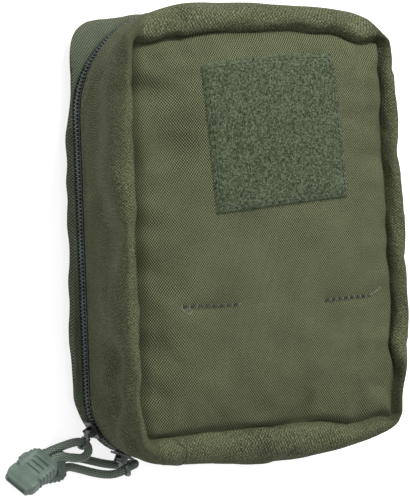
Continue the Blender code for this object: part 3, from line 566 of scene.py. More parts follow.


# braided cord: nylon strands, painted pale green where they rise as highlight and nearly black in the
# gaps between as painted shade
cord_braid, tree, shader = new_finish("braided_nylon_cord", Roughness=0.6, IOR=1.53, Specular_IOR_Level=0.4)
surface = add_node(tree, "UVMap", uv_map="millimetres")
girth = math.tau * BRAID_CORE * CORD_RADIUS / MM
winds = []
for hand in (1, -1):
    slope = (math.tau * STRANDS / girth, hand * math.tau / (BRAID_PITCH / MM), 0.0)
    wind = add_node(tree, "VectorMath", {0: surface, 1: slope}, operation="DOT_PRODUCT").outputs["Value"]
    winds.append(add_node(tree, "Math", {0: wind}, operation="SINE"))
proud = add_node(tree, "Math", {0: winds[0], 1: winds[1]}, operation="MAXIMUM")
fibre = add_node(tree, "TexNoise", {"Vector": surface, "Scale": 3.0, "Detail": 3.0})
# rising strands are painted paler and the gaps darker: painted highlight and painted shade
shade = add_node(tree, "Math", {0: proud, 1: 0.42, 2: fibre}, operation="MULTIPLY_ADD")
paint(tree, shader, shade, ((0.34, "#151C17"), (0.62, "#475649"), (0.92, "#A3B2A1")), fibre, 0.1)

cords = {}
for letter, route, grip in (("a", CORD_A_ROUTE, GRIP_A), ("b", CORD_B_ROUTE, GRIP_B)):
    path = cord_path(route, grip)
    rings, length = braid(path)
    name = f"cord_loop_{letter}"
    cord = add_piece(name + "_braid", [rings], cord_braid, "pull_" + letter, "cord", name, **SOLID)
    cords[letter] = (cord, path, length)
    print(name, "is", round(length / MM, 1), "mm long")

# %% [markdown]
# The grip is one moulded piece: a flat bar with a rounded nose, ribs down both narrow sides for the
# fingers, and a sunk window in each broad face with three cross slots, over the pinched cord ends. A loft
# of many close sections can carry all of that: each section is a rounded rectangle, pulled in at the
# sides where a groove runs and pushed down inside the window.

# %% Moulded grips
GRIP_LENGTH, GRIP_WIDTH, GRIP_THICKNESS = 21.0 * MM, 15.5 * MM, 6.6 * MM
GRIP_CORNER = 1.3 * MM
RIBS, RIB_DEPTH = 6, 0.8 * MM
WINDOW_DEPTH, WINDOW_HALF = 0.45 * MM, 4.6 * MM
SLOT_DEPTH, SLOT_HALF = 1.0 * MM, 3.6 * MM
NOTCH_DEPTH = 1.1 * MM
TIP_SLOT_DEPTH, CAP_RINGS = 1.6 * MM, 14


def rounded_section(half_width, half_height, corner, count=96):
    """Points of a rounded rectangle in the plane across the grip, at even steps of length."""
    arcs = []
    for x, y, start in ((1, -1, -90), (1, 1, 0), (-1, 1, 90), (-1, -1, 180)):
        turn = np.radians(start + np.linspace(0, 90, 7))
        arcs.append(np.stack([x * (half_width - corner) + corner * np.cos(turn),
                              y * (half_height - corner) + corner * np.sin(turn)], 1))
    ring = np.vstack(arcs + [arcs[0][:1]])
    run = run_of(ring)
    return along_path(ring, run, np.arange(count) / count * run[-1])


def pulse(x, centre, half, soft):
    """1 within half of a centre, falling to 0 over a soft edge."""
    return 1 - ease((np.abs(x - centre) - half) / soft)


def grip_rings():
    """Sections of the grip from its mouth to its tip, the last ones closing its rounded tip."""
    rings = []
    rib_pitch = 12.6 * MM / RIBS
    for x in np.concatenate([np.linspace(0.3 * MM, GRIP_LENGTH, 118), np.full(CAP_RINGS, GRIP_LENGTH)]):
        cap = max(0, len(rings) - 117) / CAP_RINGS
        nose = min(ease((x - 0.3 * MM) / (2.6 * MM)), 1.0)
        tail = ease((x - (GRIP_LENGTH - 5.0 * MM)) / (5.0 * MM))
        half = GRIP_WIDTH / 2 * (0.76 + 0.24 * nose - 0.16 * tail**2)
        thick = GRIP_THICKNESS / 2 * (0.90 + 0.10 * nose - 0.34 * tail**2)
        section = rounded_section(half, thick, GRIP_CORNER)
        y, z = section[:, 0].copy(), section[:, 1].copy()
        grooved = 1 - ease((np.abs(((x - 1.8 * MM) / rib_pitch) % 1.0 - 0.5) - 0.18) / 0.16)
        grooved *= pulse(x, 8.2 * MM, 6.2 * MM, 0.5 * MM)
        y -= np.sign(y) * RIB_DEPTH * grooved * ease((np.abs(y) / half - 0.80) / 0.15)
        window = pulse(x, 8.0 * MM, 5.2 * MM, 0.5 * MM) * pulse(y, 0.0, WINDOW_HALF, 0.5 * MM)
        slots = max(pulse(x, place * MM, 0.45 * MM, 0.4 * MM) for place in (4.9, 7.8, 10.7))
        sunk = WINDOW_DEPTH * window + SLOT_DEPTH * slots * pulse(y, 0.0, SLOT_HALF, 0.4 * MM)
        notch = pulse(x, 13.9 * MM, 0.5 * MM, 0.3 * MM) * ease((np.abs(y) / half - 0.70) / 0.08)
        z -= np.sign(z) * (sunk + NOTCH_DEPTH * notch) * (np.abs(z) > thick - 0.2 * MM)
        y, z = y * (1 - 0.42 * cap), z * (1 - 0.97 * cap)
        bulge = 0.5 * MM * (1 - (1 - cap) ** 2)
        slot = TIP_SLOT_DEPTH * pulse(z, 0.0, 0.55 * MM, 0.25 * MM) * (cap > 0.5)
        rings.append(np.stack([x + bulge - slot, y, z], 1))
    return np.array(rings)


for letter, grip in (("a", GRIP_A), ("b", GRIP_B)):
    name, body, node = "cord_grip_" + letter, "pull_" + letter, "cord_end_" + letter
    piece = add_piece(name, [grip_rings()], end_plastic, body, "cord_end_plastic", node, **SOLID)
    piece.data.transform(grip)
    cord, path, length = cords[letter]
    print(piece.name, len(piece.data.vertices), "points")

# %% [markdown]
# The front half is a deep tray of cloth: a gusset that rises from the zip, leans out, and rolls over
# into the seam round the front panel. Its outlines are the CAD model's: rounded rectangles whose sides
# bow out between the corners. Blending from one outline to the next on the way up gives the gusset's
# skin as rows of points, fine enough for the cloth to crease.

# %% Outlines of the pouch
# half width, bottom, top, two corner radii, and the bow of the sides, bottom and top, in mm
ZIP_LINE = np.array([68.0, -100.0, 101.0, 30.0, 46.0, 0.0, 0.0, 0.0]) * MM
ROLL_LINE = np.array([67.5, -94.5, 95.9, 10.0, 12.0, 6.0, 6.5, 6.5]) * MM
CREST_LINE = np.array([66.8, -88.6, 89.0, 6.0, 6.0, 3.0, 2.6, 6.0]) * MM
SEAM_LINE = np.array([63.5, -85.0, 85.5, 2.0, 2.0, 1.0, 0.0, 5.0]) * MM
RIM_Z, ROLL_Z, CREST_Z, SEAM_Z, CROWN = 20.5 * MM, 60.0 * MM, 67.4 * MM, 65.4 * MM, 4.6 * MM
ARC_POINTS, SIDE_POINTS, END_POINTS = 12, 60, 42


def bow(points, half_width, low, high, side_bow, low_bow, high_bow):
    """Push points of a rectangle out, most between the corners and not at all at them."""
    across = points[:, 0] / half_width
    along = (points[:, 1] - (low + high) / 2) / ((high - low) / 2)
    out = np.where(along > 0, high_bow, low_bow)
    return np.stack([points[:, 0] + across * side_bow * (1 - along**2),
                     points[:, 1] + along * out * (1 - across**2)], 1)


def outline(line):
    """Closed rounded rectangle, counterclockwise from the left end of its bottom edge."""
    half_width, low, high, low_radius, high_radius = line[:5]
    corners = (
        (half_width - low_radius, low + low_radius, low_radius, -90),
        (half_width - high_radius, high - high_radius, high_radius, 0),
        (high_radius - half_width, high - high_radius, high_radius, 90),
        (low_radius - half_width, low + low_radius, low_radius, 180),
    )
    arcs = []
    for x, y, radius, start in corners:
        turn = np.radians(start + np.linspace(0, 90, ARC_POINTS))
        arcs.append(np.stack([x + radius * np.cos(turn), y + radius * np.sin(turn)], 1))
    points = []
    for before, arc, count in zip([arcs[-1]] + arcs[:-1], arcs, (END_POINTS, SIDE_POINTS) * 2):
        shares = np.linspace(0, 1, count + 1)[1:-1, None]
        points += [before[-1] + (arc[0] - before[-1]) * shares, arc]
    return bow(np.vstack(points), half_width, low, high, *line[5:])


def loft(stations, rows):
    """Rows of points through stations (height, outline), spaced evenly up the profile."""
    rings = [at_height(outline(line), z) for z, line in stations]
    fine = smooth_path(np.array([ring.ravel() for ring in rings]), 12).reshape(-1, len(rings[0]), 3)
    run = lengths(fine, 0)
    places = np.linspace(0, run[-1], rows)
    after = np.clip(np.searchsorted(run, places), 1, len(run) - 1)
    share = ((places - run[after - 1]) / (run[after] - run[after - 1]))[:, None, None]
    return fine[after - 1] * (1 - share) + fine[after] * share


def grown(line, out):
    """An outline moved outwards."""
    half_width, low, high, low_radius, high_radius, *bows = line
    return np.array([half_width + out, low - out, high + out, low_radius + out, high_radius + out, *bows])


def mixed(first, last, share):
    """An outline part of the way between two."""
    return first + share * (last - first)


def surface_noise(points, size_mm, seed):
    """Smooth noise between about -1 and 1 over points, with features of a size in mm."""
    shift = Vector((seed * 7.3, seed * 3.1, seed * 5.7))
    flat = points.reshape(-1, 3) / (size_mm * MM)
    return np.array([noise.noise(Vector(point) + shift) for point in flat]).reshape(points.shape[:-1])


def normals_of(points):
    """Outward normals of closed rows of points."""
    ringed = np.concatenate([points[:, -1:], points, points[:, :1]], 1)
    across = np.gradient(ringed, axis=1)[:, 1:-1]
    normal = np.cross(across, np.gradient(points, axis=0))
    return normal / np.maximum(np.linalg.norm(normal, axis=2), 1e-9)[..., None]


print(len(outline(SEAM_LINE)), "points round each outline")

# %% [markdown]
# A stuffed bag has no smooth faces: the filling pushes, the seams hold, and spare cloth gathers beside
# them. Blender's cloth solver can find that shape. The rim and seam rows are held, the cloth is grown a
# few per cent and blown out by a light pressure, and after some steps it has swelled and buckled. How
# far a point may move is capped, so that the pouch keeps the size of its CAD solid.

# %% Cloth settling


def settle(piece, held, pressure, frames, growth, cap):
    """Let a piece swell and crease as cloth. Held is 1 where the cloth is sewn fast."""
    rest = np.empty(len(piece.data.vertices) * 3)
    piece.data.vertices.foreach_get("co", rest)
    group = piece.vertex_groups.new(name="sewn")
    for index, weight in enumerate(held.ravel()):
        if weight > 0.01:
            group.add([index], float(weight), "REPLACE")
    cloth = piece.modifiers.new("cloth", "CLOTH")
    settings = cloth.settings
    settings.quality = 6
    settings.mass = 0.15
    settings.tension_stiffness = settings.compression_stiffness = 25
    settings.shear_stiffness = 8
    settings.bending_stiffness = 1.2
    settings.use_pressure = True
    settings.uniform_pressure_force = pressure
    settings.shrink_min = -growth
    settings.vertex_group_mass = "sewn"
    settings.effector_weights.gravity = 0.0
    cloth.point_cache.frame_start, cloth.point_cache.frame_end = 1, frames
    for number in range(1, frames + 1):
        scene.frame_set(number)
    seen = piece.evaluated_get(bpy.context.evaluated_depsgraph_get()).data
    moved = np.empty_like(rest)
    seen.vertices.foreach_get("co", moved)
    step = (moved - rest).reshape(-1, 3)
    size = np.linalg.norm(step, axis=1)
    kept = cap * np.tanh(size / cap)
    step *= (kept / np.maximum(size, 1e-9))[:, None]
    piece.modifiers.remove(cloth)
    piece.vertex_groups.remove(group)
    scene.frame_set(1)
    piece.data.vertices.foreach_set("co", rest + step.ravel())
    piece.data.update()
    print(piece.name, "moved up to", round(size.max() / MM, 1), "mm, kept", round(kept.max() / MM, 1))


def dents(points, marks):
    """Sum of soft dents: each mark is (place in mm, radius in mm, depth in mm)."""
    total = np.zeros(points.shape[:-1])
    for place, radius, depth in marks:
        reach = np.linalg.norm(points - np.array(place) * MM, axis=-1) / (radius * MM)
        total += depth * MM * np.exp(-(reach**2))
    return total


# the sewn line wanders: each shift is (place in mm, radius in mm, shift in mm)
SEAM_SHIFTS = (
    ((-63.5, -68.0), 9, (-1.6, 0.0)),
    ((-62.0, -86.0), 7, (2.0, -1.2)),
    ((63.5, -70.0), 7, (1.8, 0.0)),
    ((44.0, -85.0), 13, (0.0, -3.0)),
    ((56.0, -86.0), 5, (0.0, 1.2)),
    ((52.0, 89.0), 6, (0.0, -1.8)),
    ((-56.0, 89.0), 6, (1.0, -1.6)),
    ((-63.5, 40.0), 10, (0.9, 0.0)),
    ((63.5, 18.0), 20, (1.6, 0.0)),
    ((63.5, -38.0), 30, (3.4, 0.0)),
    ((64.0, -52.0), 5, (-1.5, 0.0)),
    ((64.0, -66.0), 6, (2.0, 0.0)),
    ((62.0, -84.0), 10, (2.6, -2.2)),
)


def seam_shift(points):
    """Sideways shift of the sewn line at places near it."""
    total = np.zeros((*points.shape[:-1], 2))
    for place, radius, shift in SEAM_SHIFTS:
        reach = np.linalg.norm(points[..., :2] - np.array(place) * MM, axis=-1) / (radius * MM)
        total += np.exp(-(reach**2))[..., None] * np.array(shift) * MM
    for axis in (0, 1):
        total[..., axis] += surface_noise(points * (1, 1, 0), 13.0, 40 + axis) * 0.9 * MM
    return total


def gathers(points):
    """Folds that run away from the seam: they change along it and not across it, in mm."""
    half_width, low, high = SEAM_LINE[:3]
    side_gap = half_width - np.abs(points[..., 0])
    end_gap = np.minimum(points[..., 1] - low, high - points[..., 1])
    beside = ease(0.5 + (end_gap - side_gap) / (10 * MM))
    run = np.zeros(points.shape)
    run[..., 0] = np.sign(points[..., 0]) * 40 * MM
    run[..., 1] = points[..., 1]
    along = surface_noise(run, 19.0, 42) * 1.2 + surface_noise(run, 8.0, 43) * 0.7
    run[..., 0] = points[..., 0]
    run[..., 1] = np.sign(points[..., 1]) * 40 * MM
    across = surface_noise(run, 19.0, 44) * 1.2 + surface_noise(run, 8.0, 45) * 0.7
    return beside * along + (1 - beside) * across


print("cloth solver ready")

# %% [markdown]
# The gusset itself. Its lower edge is a folded hem beside the zip; its upper edge dives into the seam.
# Noise that is stretched along the height starts the puckers that gather beside the seam, and a few
# soft dents are set where the photograph shows the cloth caved in. Then the cloth solver takes over.

# %% Front gusset
SEAM_DEPTH = 5.2 * MM
stations = [
    (RIM_Z + 0.9 * MM, grown(ZIP_LINE, -1.5 * MM)),
    (RIM_Z - 0.3 * MM, grown(ZIP_LINE, -0.9 * MM)),
    (RIM_Z - 0.5 * MM, grown(ZIP_LINE, 0.0 * MM)),
    (RIM_Z + 0.5 * MM, grown(ZIP_LINE, 0.5 * MM)),
    (RIM_Z + 2.6 * MM, grown(ZIP_LINE, 0.2 * MM)),
]
for rise, share in ((0.18, 0.24), (0.42, 0.55), (0.75, 0.84), (0.92, 0.95)):
    stations.append((RIM_Z + rise * (ROLL_Z - RIM_Z), mixed(ZIP_LINE, ROLL_LINE, share)))
for rise, share in ((0.10, 0.02), (0.58, 0.19), (0.90, 0.52), (1.0, 0.85)):
    stations.append((ROLL_Z + rise * (CREST_Z - ROLL_Z), mixed(ROLL_LINE, CREST_LINE, share)))
stations += [
    (SEAM_Z + 1.2 * MM, mixed(CREST_LINE, SEAM_LINE, 0.42)),
    (SEAM_Z - 1.4 * MM, mixed(CREST_LINE, SEAM_LINE, 0.80)),
    (SEAM_Z - SEAM_DEPTH, SEAM_LINE),
]
gusset = loft(stations, 46)
rise = np.linspace(0, 1, len(gusset))[:, None]
free = ease((rise - 0.14) / 0.30) * ease((1.0 - rise) / 0.07)
near_seam = ease((rise - 0.60) / 0.3) * ease((1.0 - rise) / 0.05)
calm = 1 - 0.6 * ease(gusset[..., 0] / (50 * MM))
puckers = gathers(gusset) * near_seam * calm * 1.3 + surface_noise(gusset, 46.0, 2) * 1.5
puckers += surface_noise(gusset * (1, 1, 0.6), 19.0, 3) * 0.7
GUSSET_DENTS = (
    ((-66.0, 94.0, 42.0), 20, -5.0),
    ((-71.0, 55.0, 40.0), 13, -2.2),
    ((-71.0, 0.0, 42.0), 24, -1.6),
    ((-71.0, -50.0, 50.0), 8, -4.4),
    ((-70.0, -60.0, 44.0), 7, 3.4),
    ((-68.0, -70.0, 49.0), 7, -4.2),
    ((-66.0, -80.0, 54.0), 5, 2.4),
    ((-68.0, -86.0, 60.0), 4, -2.6),
    ((-62.0, -91.0, 62.0), 4, -2.4),
    ((-67.0, -90.0, 56.0), 4, 1.8),
    ((76.0, -30.0, 58.0), 40, 1.0),
    ((77.0, -56.0, 58.0), 12, 1.6),
    ((75.0, 20.0, 56.0), 14, -1.0),
    ((66.0, 92.0, 58.0), 12, -2.8),
    ((-38.0, 100.0, 58.0), 16, 1.6),
    ((58.0, -96.0, 58.0), 6, -2.0),
    ((69.0, -90.0, 59.0), 9, -2.2),
    ((-34.0, -101.0, 50.0), 30, -2.2),
    ((-6.0, -97.0, 64.0), 5, -1.8),
    ((8.0, -98.0, 62.0), 4, -1.4),
    ((20.0, 102.0, 55.0), 20, -1.0),
)
dented = puckers * MM * 0.8 + dents(gusset, GUSSET_DENTS)
gusset += normals_of(gusset) * (free * dented)[..., None]
gusset[..., :2] += seam_shift(gusset) * ease((rise - 0.70) / 0.28)[..., None]
gusset_form = ("front_gusset_cloth", [gusset], gusset_cloth, "cover", "pouch_cloth", "front_gusset")
front_gusset = add_piece(*gusset_form, closed=True)
settle(front_gusset, np.broadcast_to(1 - free, gusset.shape[:2]), 0.8, 14, 0.012, 1.6 * MM)
print(front_gusset.name, len(front_gusset.data.vertices), "points")

# %% [markdown]
# The front panel is a rectangle of the same cloth, held down all round by the seam and pushed up by
# what is inside. Its last few millimetres turn down into the seam, so a dark groove is left between it
# and the roll. It settles like the gusset, with its border held.

# %% Front panel
PANEL_COLUMNS, PANEL_ROWS = 84, 112
PANEL_INSET = -0.4 * MM


def panel_place(x, y):
    """Places on the smooth panel: edges bowed, crowned in the middle."""
    half_width, low, high = SEAM_LINE[:3]
    middle = (low + high) / 2
    flat = bow(np.stack([x, y], 1), half_width, low, high, *SEAM_LINE[5:])
    across = np.minimum(np.abs(x) / half_width, 1.0)
    along = np.minimum(np.abs(y - middle) / (high - middle), 1.0)
    return np.column_stack([flat, SEAM_Z + CROWN * (1 - across**3) * (1 - along**4)])


def crowded(count):
    """Places from -1 to 1, half as far apart at the ends."""
    even = np.linspace(-1, 1, count)
    return even * (1.25 - 0.25 * even**2)


half, low, high = SEAM_LINE[0] - PANEL_INSET, SEAM_LINE[1] + PANEL_INSET, SEAM_LINE[2] - PANEL_INSET
rows = (low + high) / 2 + crowded(PANEL_ROWS) * (high - low) / 2
x, y = np.meshgrid(crowded(PANEL_COLUMNS) * half, rows)
panel = panel_place(x.ravel(), y.ravel()).reshape(PANEL_ROWS, PANEL_COLUMNS, 3)
border = np.minimum(half - np.abs(x), np.minimum(y - low, high - y))
steep = np.exp(-((border / (2.2 * MM)) ** 1.5))
gentle = np.exp(-border / (9.0 * MM))
panel[..., 2] -= SEAM_DEPTH * (0.80 * steep + 0.20 * gentle)
near_edge = gentle * ease(border / (2 * MM))
sag = gathers(panel) * near_edge * 3.4 + surface_noise(panel, 40.0, 5) * 1.1 * ease(border / (10 * MM))
# the cloth sinks deepest behind the left ridge, and the two bar tacks draw it in
LEFT_GUTTER = 3.0 * MM
TACK_PULL = 0.9 * MM
BAR_TACKS = (((-47.4, -28.2), (-19.0, -28.9)), ((25.2, -30.1), (50.7, -29.6)))
PANEL_DENTS = (
    ((-59.0, 83.0, 64.0), 5, -2.6),
    ((-57.0, 62.0, 66.0), 10, -4.6),
    ((-50.0, 40.0, 68.0), 10, -4.8),
    ((-60.0, 23.0, 65.0), 6, -2.4),
    ((-60.5, 7.0, 65.0), 6, -2.8),
    ((-60.0, -14.0, 65.0), 8, -3.0),
    ((-61.0, -30.0, 65.0), 6, -2.4),
    ((-59.0, -47.0, 65.0), 8, -3.0),
    ((-59.0, -68.0, 65.0), 7, -1.8),
    ((-57.0, -79.0, 66.0), 6, -2.2),
    ((-8.0, -79.0, 67.0), 6, -1.6),
    ((15.0, -80.0, 67.0), 6, -1.6),
    ((20.0, -70.0, 68.0), 4, 1.0),
    ((24.0, -60.0, 69.0), 4, 0.9),
    ((46.0, -80.0, 66.0), 5, -1.4),
    ((54.0, 80.0, 66.0), 6, -1.6),
    ((56.0, 20.0, 66.0), 9, -0.9),
)
panel[..., 2] += sag * MM * 0.8 + dents(panel, PANEL_DENTS)
panel[..., 2] -= LEFT_GUTTER * np.exp(-(((x + half) / (3.2 * MM)) ** 2)) * ease(border / (1.0 * MM))
for start, end in BAR_TACKS:
    start, end = np.array(start) * MM, np.array(end) * MM
    share = np.clip((panel[..., :2] - start) @ (end - start) / np.dot(end - start, end - start), 0, 1)
    gap = np.linalg.norm(panel[..., :2] - start - share[..., None] * (end - start), axis=-1)
    panel[..., 2] -= TACK_PULL * np.exp(-((gap / (2.0 * MM)) ** 2))
panel[..., :2] += seam_shift(panel) * np.exp(-border / (7 * MM))[..., None]
panel_form = ("front_panel_cloth", [panel], pouch_cloth, "cover", "pouch_cloth", "front_panel")
front_panel = add_piece(*panel_form)
settle(front_panel, 1 - ease((border - 2.5 * MM) / (5 * MM)), 1.0, 12, 0.015, 1.8 * MM)
print(front_panel.name, len(front_panel.data.vertices), "points")

# %% [markdown]
# The loop patch is sewn flat on the panel, so it takes the panel's creases. A ray cast down onto the
# settled panel gives the height under each of its points. Its pile is real geometry: thousands of tiny
# arches of yarn, leaning every way, over a napped ground. A row of lockstitch runs just inside its edge.

# %% Loop patch
PATCH_WIDTH, PATCH_HEIGHT, PATCH_TILT = 68.0 * MM, 62.5 * MM, math.radians(4)
PATCH_CENTRE = np.array([2.4, 43.8]) * MM
PATCH_THICKNESS = 1.5 * MM
STITCH_LINE = 2.1 * MM
bpy.context.view_layer.update()
panel_skin = BVHTree.FromObject(front_panel, bpy.context.evaluated_depsgraph_get())


def panel_top(x, y):
    """Height of the settled panel at a place."""
    hit = panel_skin.ray_cast(Vector((x, y, 0.2)), Vector((0, 0, -1)))[0]
    return hit.z if hit else SEAM_Z


TILT_COS, TILT_SIN = math.cos(PATCH_TILT), math.sin(PATCH_TILT)
PATCH_TURN = np.array([[TILT_COS, -TILT_SIN], [TILT_SIN, TILT_COS]])


def on_patch(across, along):
    """World place of the patch's ground, from a place measured from its middle."""
    flat = PATCH_CENTRE + PATCH_TURN @ np.array([across, along])
    x, y = panel_place(flat[:1], flat[1:])[0][:2]
    edge = min(PATCH_WIDTH / 2 - abs(across), PATCH_HEIGHT / 2 - abs(along))
    swell = PATCH_THICKNESS * (0.25 + 0.75 * ease(edge / (1.3 * MM)))
    swell -= 0.45 * MM * math.exp(-(((edge - STITCH_LINE) / (0.7 * MM)) ** 2))
    return np.array([x, y, panel_top(x, y) + 0.15 * MM + (swell if edge > 1e-6 else -0.1 * MM)])


across = np.linspace(-0.5, 0.5, 76) * PATCH_WIDTH
along = np.linspace(-0.5, 0.5, 70) * PATCH_HEIGHT
patch = np.array([[on_patch(u, v) for u in across] for v in along])
patch[1:-1, 1:-1, 2] += surface_noise(patch, 1.4, 6)[1:-1, 1:-1] * 0.22 * MM
loop_patch = add_piece("loop_patch_pile", [patch], loop_pile, "cover", "loop_pile", "loop_patch")

draw = random.Random(11)
tufts = []
for _ in range(4600):
    u = draw.uniform(-0.495, 0.495) * PATCH_WIDTH
    v = draw.uniform(-0.495, 0.495) * PATCH_HEIGHT
    turn, reach = draw.uniform(0, math.tau), draw.uniform(0.20, 0.48) * MM
    edge = min(PATCH_WIDTH / 2 - abs(u), PATCH_HEIGHT / 2 - abs(v))
    if abs(edge - STITCH_LINE) < 0.7 * MM:
        continue
    foot = on_patch(u, v) - (0, 0, 0.1 * MM)
    side = np.array([math.cos(turn), math.sin(turn), 0.0])
    lean = np.array([-side[1], side[0], 0.0]) * draw.uniform(-0.4, 0.4) * MM
    flank, up = side * reach, np.array([0.0, 0.0, 1.0]) * MM
    knots = [foot - flank, foot - flank * 0.7 + up * 0.4 + lean / 2, foot + lean + up * 0.62,
             foot + flank * 0.7 + up * 0.4 + lean / 2, foot + flank]
    tufts.append(tube(knots, 0.08 * MM, 4))
add_piece("loop_patch_tufts", tufts, loop_pile, "cover", "loop_pile", closed=True)

stitches = []
for axis, half, other in ((0, PATCH_WIDTH / 2, PATCH_HEIGHT / 2), (1, PATCH_HEIGHT / 2, PATCH_WIDTH / 2)):
    sewn = half - STITCH_LINE
    count = int(2 * sewn / (3.0 * MM))
    for side in (-1, 1):
        row = side * (other - STITCH_LINE)
        for index in range(count):
            ends = [-sewn + sewn * 2 * (index + share) / count for share in (0.1, 0.9)]
            start, end = (on_patch(*((place, row) if axis == 0 else (row, place))) for place in ends)
            stitches.append(stitch(start, end, (0, 0, 0.35 * MM), 0.24 * MM))
add_piece("loop_patch_stitches", stitches, dark_thread, "cover", "loop_pile", **SOLID)
print(len(tufts), "tufts and", len(stitches), "stitches")

# %% [markdown]
# Two short bar tacks cross the panel below the patch. They look like the upper corners of a pocket behind
# it, and are sewn as a tight zigzag of pale thread; most stitches are drawn in dark thread, which is painted
# shade between the pale stitches.
# Loose ends of the pale thread are left at both.

# %% Bar tacks and loose threads
ZIGZAG, ZIGZAG_STEP = 0.95 * MM, 0.85 * MM


def zigzag(start, end, seed):
    """A zigzag thread laid on the panel between two places in mm."""
    start, end = np.array(start) * MM, np.array(end) * MM
    count = int(np.linalg.norm(end - start) / ZIGZAG_STEP)
    across = np.array([start[1] - end[1], end[0] - start[0]]) / np.linalg.norm(end - start)
    jitter = random.Random(seed)
    knots = []
    for index in range(count + 1):
        side = ZIGZAG * (1 if index % 2 else -1) * jitter.uniform(0.75, 1.15)
        x, y = start + (end - start) * index / count + across * side
        knots.append((x, y, panel_top(x, y) + 0.22 * MM))
    return np.array(knots)


tacks = []
for seed, (start, end) in enumerate(BAR_TACKS, 1):
    knots = zigzag(start, end, seed)
    for first, last in zip(knots, knots[1:]):
        tacks.append(stitch(first, last, (0, 0, 0.30 * MM), 0.21 * MM))
# every fourth stitch is pale thread; the others are dark thread as painted shade between them
dark_shade_stitches = [tack for place, tack in enumerate(tacks) if place % 4]
add_piece("pocket_bar_tacks", dark_shade_stitches, dark_thread, "cover", "pouch_cloth", **SOLID)
add_piece("pocket_tack_flecks", tacks[::4], pale_thread, "cover", "pouch_cloth", **SOLID)
THREAD_RADIUS = 0.2 * MM


def loose_thread(name, knots_mm, finish, skin):
    """A thread that lies on a skin along places given in mm."""
    path = []
    for point in smooth_path(np.array(knots_mm) * MM, 8):
        near, normal, _, _ = skin.find_nearest(Vector(point))
        path.append(tuple(near + normal * THREAD_RADIUS * 1.3))
    add_piece(name, [tube(path, THREAD_RADIUS, 6)], finish, "cover", "pouch_cloth", **SOLID)


TACK_END_LEFT = (
    (-47.0, -28.6, 69), (-46.0, -30.4, 69), (-43.6, -31.6, 69), (-42.4, -30.4, 69), (-43.6, -29.4, 69),
    (-45.4, -30.0, 69),
)
TACK_END_RIGHT = ((50.5, -29.6, 68), (53.0, -28.6, 68), (55.6, -27.6, 68), (57.4, -26.4, 67))
SEAM_END = (
    (-50.3, -83.4, 64.5), (-49.5, -84.5, 66.5), (-47.9, -86.2, 67.0), (-46.4, -88.9, 66.0),
    (-45.9, -92.3, 63.5), (-46.1, -95.4, 59.5), (-48.8, -96.5, 57.0), (-52.4, -96.0, 56.5),
)
gusset_skin = BVHTree.FromObject(front_gusset, bpy.context.evaluated_depsgraph_get())
loose_thread("tack_thread_left", TACK_END_LEFT, pale_thread, panel_skin)
loose_thread("tack_thread_right", TACK_END_RIGHT, pale_thread, panel_skin)
loose_thread("seam_thread", SEAM_END, dark_thread, gusset_skin)
print(len(tacks), "tack stitches")

# %% [markdown]
# The zip runs round three sides of the pouch. Each tape carries a coil of nylon thread sewn to its edge,
# and the turns of the two coils hook between each other. Modelled turn by turn, the two rows of glinting
# bars part cleanly when the cover opens, because each row rides on its own half.

# %% Zip tapes
ZIP_Z, ZIP_END = 15.0 * MM, 33.0 * MM
ring = outline(ZIP_LINE)
kept = ring[(ring[:, 1] > ZIP_LINE[1] + 0.3 * MM) | (np.abs(ring[:, 0]) > ZIP_END)]
kept = kept[np.argsort(np.arctan2(kept[:, 0], kept[:, 1]))]
track = np.vstack([(-ZIP_END, ZIP_LINE[1]), kept, (ZIP_END, ZIP_LINE[1])])
track_run = run_of(track)


def track_at(places, inset=0.0):
    """Points on the zip's path at distances along it, moved inwards by an inset."""
    step = 1.0 * MM
    along = along_path(track, track_run, places + step) - along_path(track, track_run, places - step)
    along /= np.linalg.norm(along, axis=1)[:, None]
    return along_path(track, track_run, places) + inset * np.stack([along[:, 1], -along[:, 0]], 1)


places = np.linspace(0, track_run[-1], 420)
HALVES = (("front", 1, "cover"), ("rear", -1, "rear_half"))
# where each tape is sewn in, above or below the zip's middle, and the inset of its edge, in mm
TAPE_SEWN, TAPE_LIP = {"front": 6.6, "rear": 4.7}, {"front": 2.2, "rear": 3.0}
for half, sign, body in HALVES:
    sewn, lip = TAPE_SEWN[half], TAPE_LIP[half]
    rows = []
    for height, inset in ((sewn, 1.9), (3.4, 1.8), (1.9, 1.5), (0.4, 1.7), (-0.2, lip), (-1.1, lip)):
        rows.append(at_height(track_at(places, inset * MM), ZIP_Z + sign * height * MM))
    name, node = f"{half}_zip_ribbon", f"{half}_zip_tape"
    add_piece(name, [np.array(rows)], tape_cloth, body, "zip_tape", node, flip=sign < 0)
print("zip is", round(track_run[-1] / MM), "mm long")

# %% Zip coils
TURN_PITCH, TURN_RADIUS = 1.7 * MM, 0.42 * MM
TURN_PATH = ((2.6, 1.3), (2.3, 0.35), (1.3, -0.05), (0.0, -0.1), (-0.5, 0.1), (-0.75, 0.7))
TURN_SHARES = np.array([0.8, 0.95, 1.0, 1.0, 1.15, 0.9])


def coil(sign):
    """Turns of one coil: each leaves the tape, comes out over the zip and ends in a hooked head."""
    turns = []
    shift = 0.25 if sign > 0 else 0.75
    for index in range(int(track_run[-1] / TURN_PITCH)):
        place = np.array([(index + shift) * TURN_PITCH])
        path = []
        for height, inset in TURN_PATH:
            path.append((*track_at(place, inset * MM)[0], ZIP_Z + sign * height * MM))
        turns.append(tube(path, TURN_RADIUS * TURN_SHARES, 7))
    core = at_height(track_at(places, 0.95 * MM), ZIP_Z + sign * 1.75 * MM)
    return turns, tube(core, 0.50 * MM, 7)


for half, sign, body in HALVES:
    turns, core = coil(sign)
    add_piece(f"{half}_zip_turns", turns + [core], coil_nylon, body, "zip_coil", f"{half}_zip_coil", **SOLID)
    print(half, "coil has", len(turns), "turns")

# %% [markdown]
# The sliders and their tabs keep their CAD shapes, which are rigid castings, and only get the lacquer.

# %% Sliders and tabs
for name in ("slider_a", "slider_b", "pull_tab_a", "pull_tab_b"):
    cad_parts[name].material_slots[0].material = slider_metal
    print(name, "lacquered")
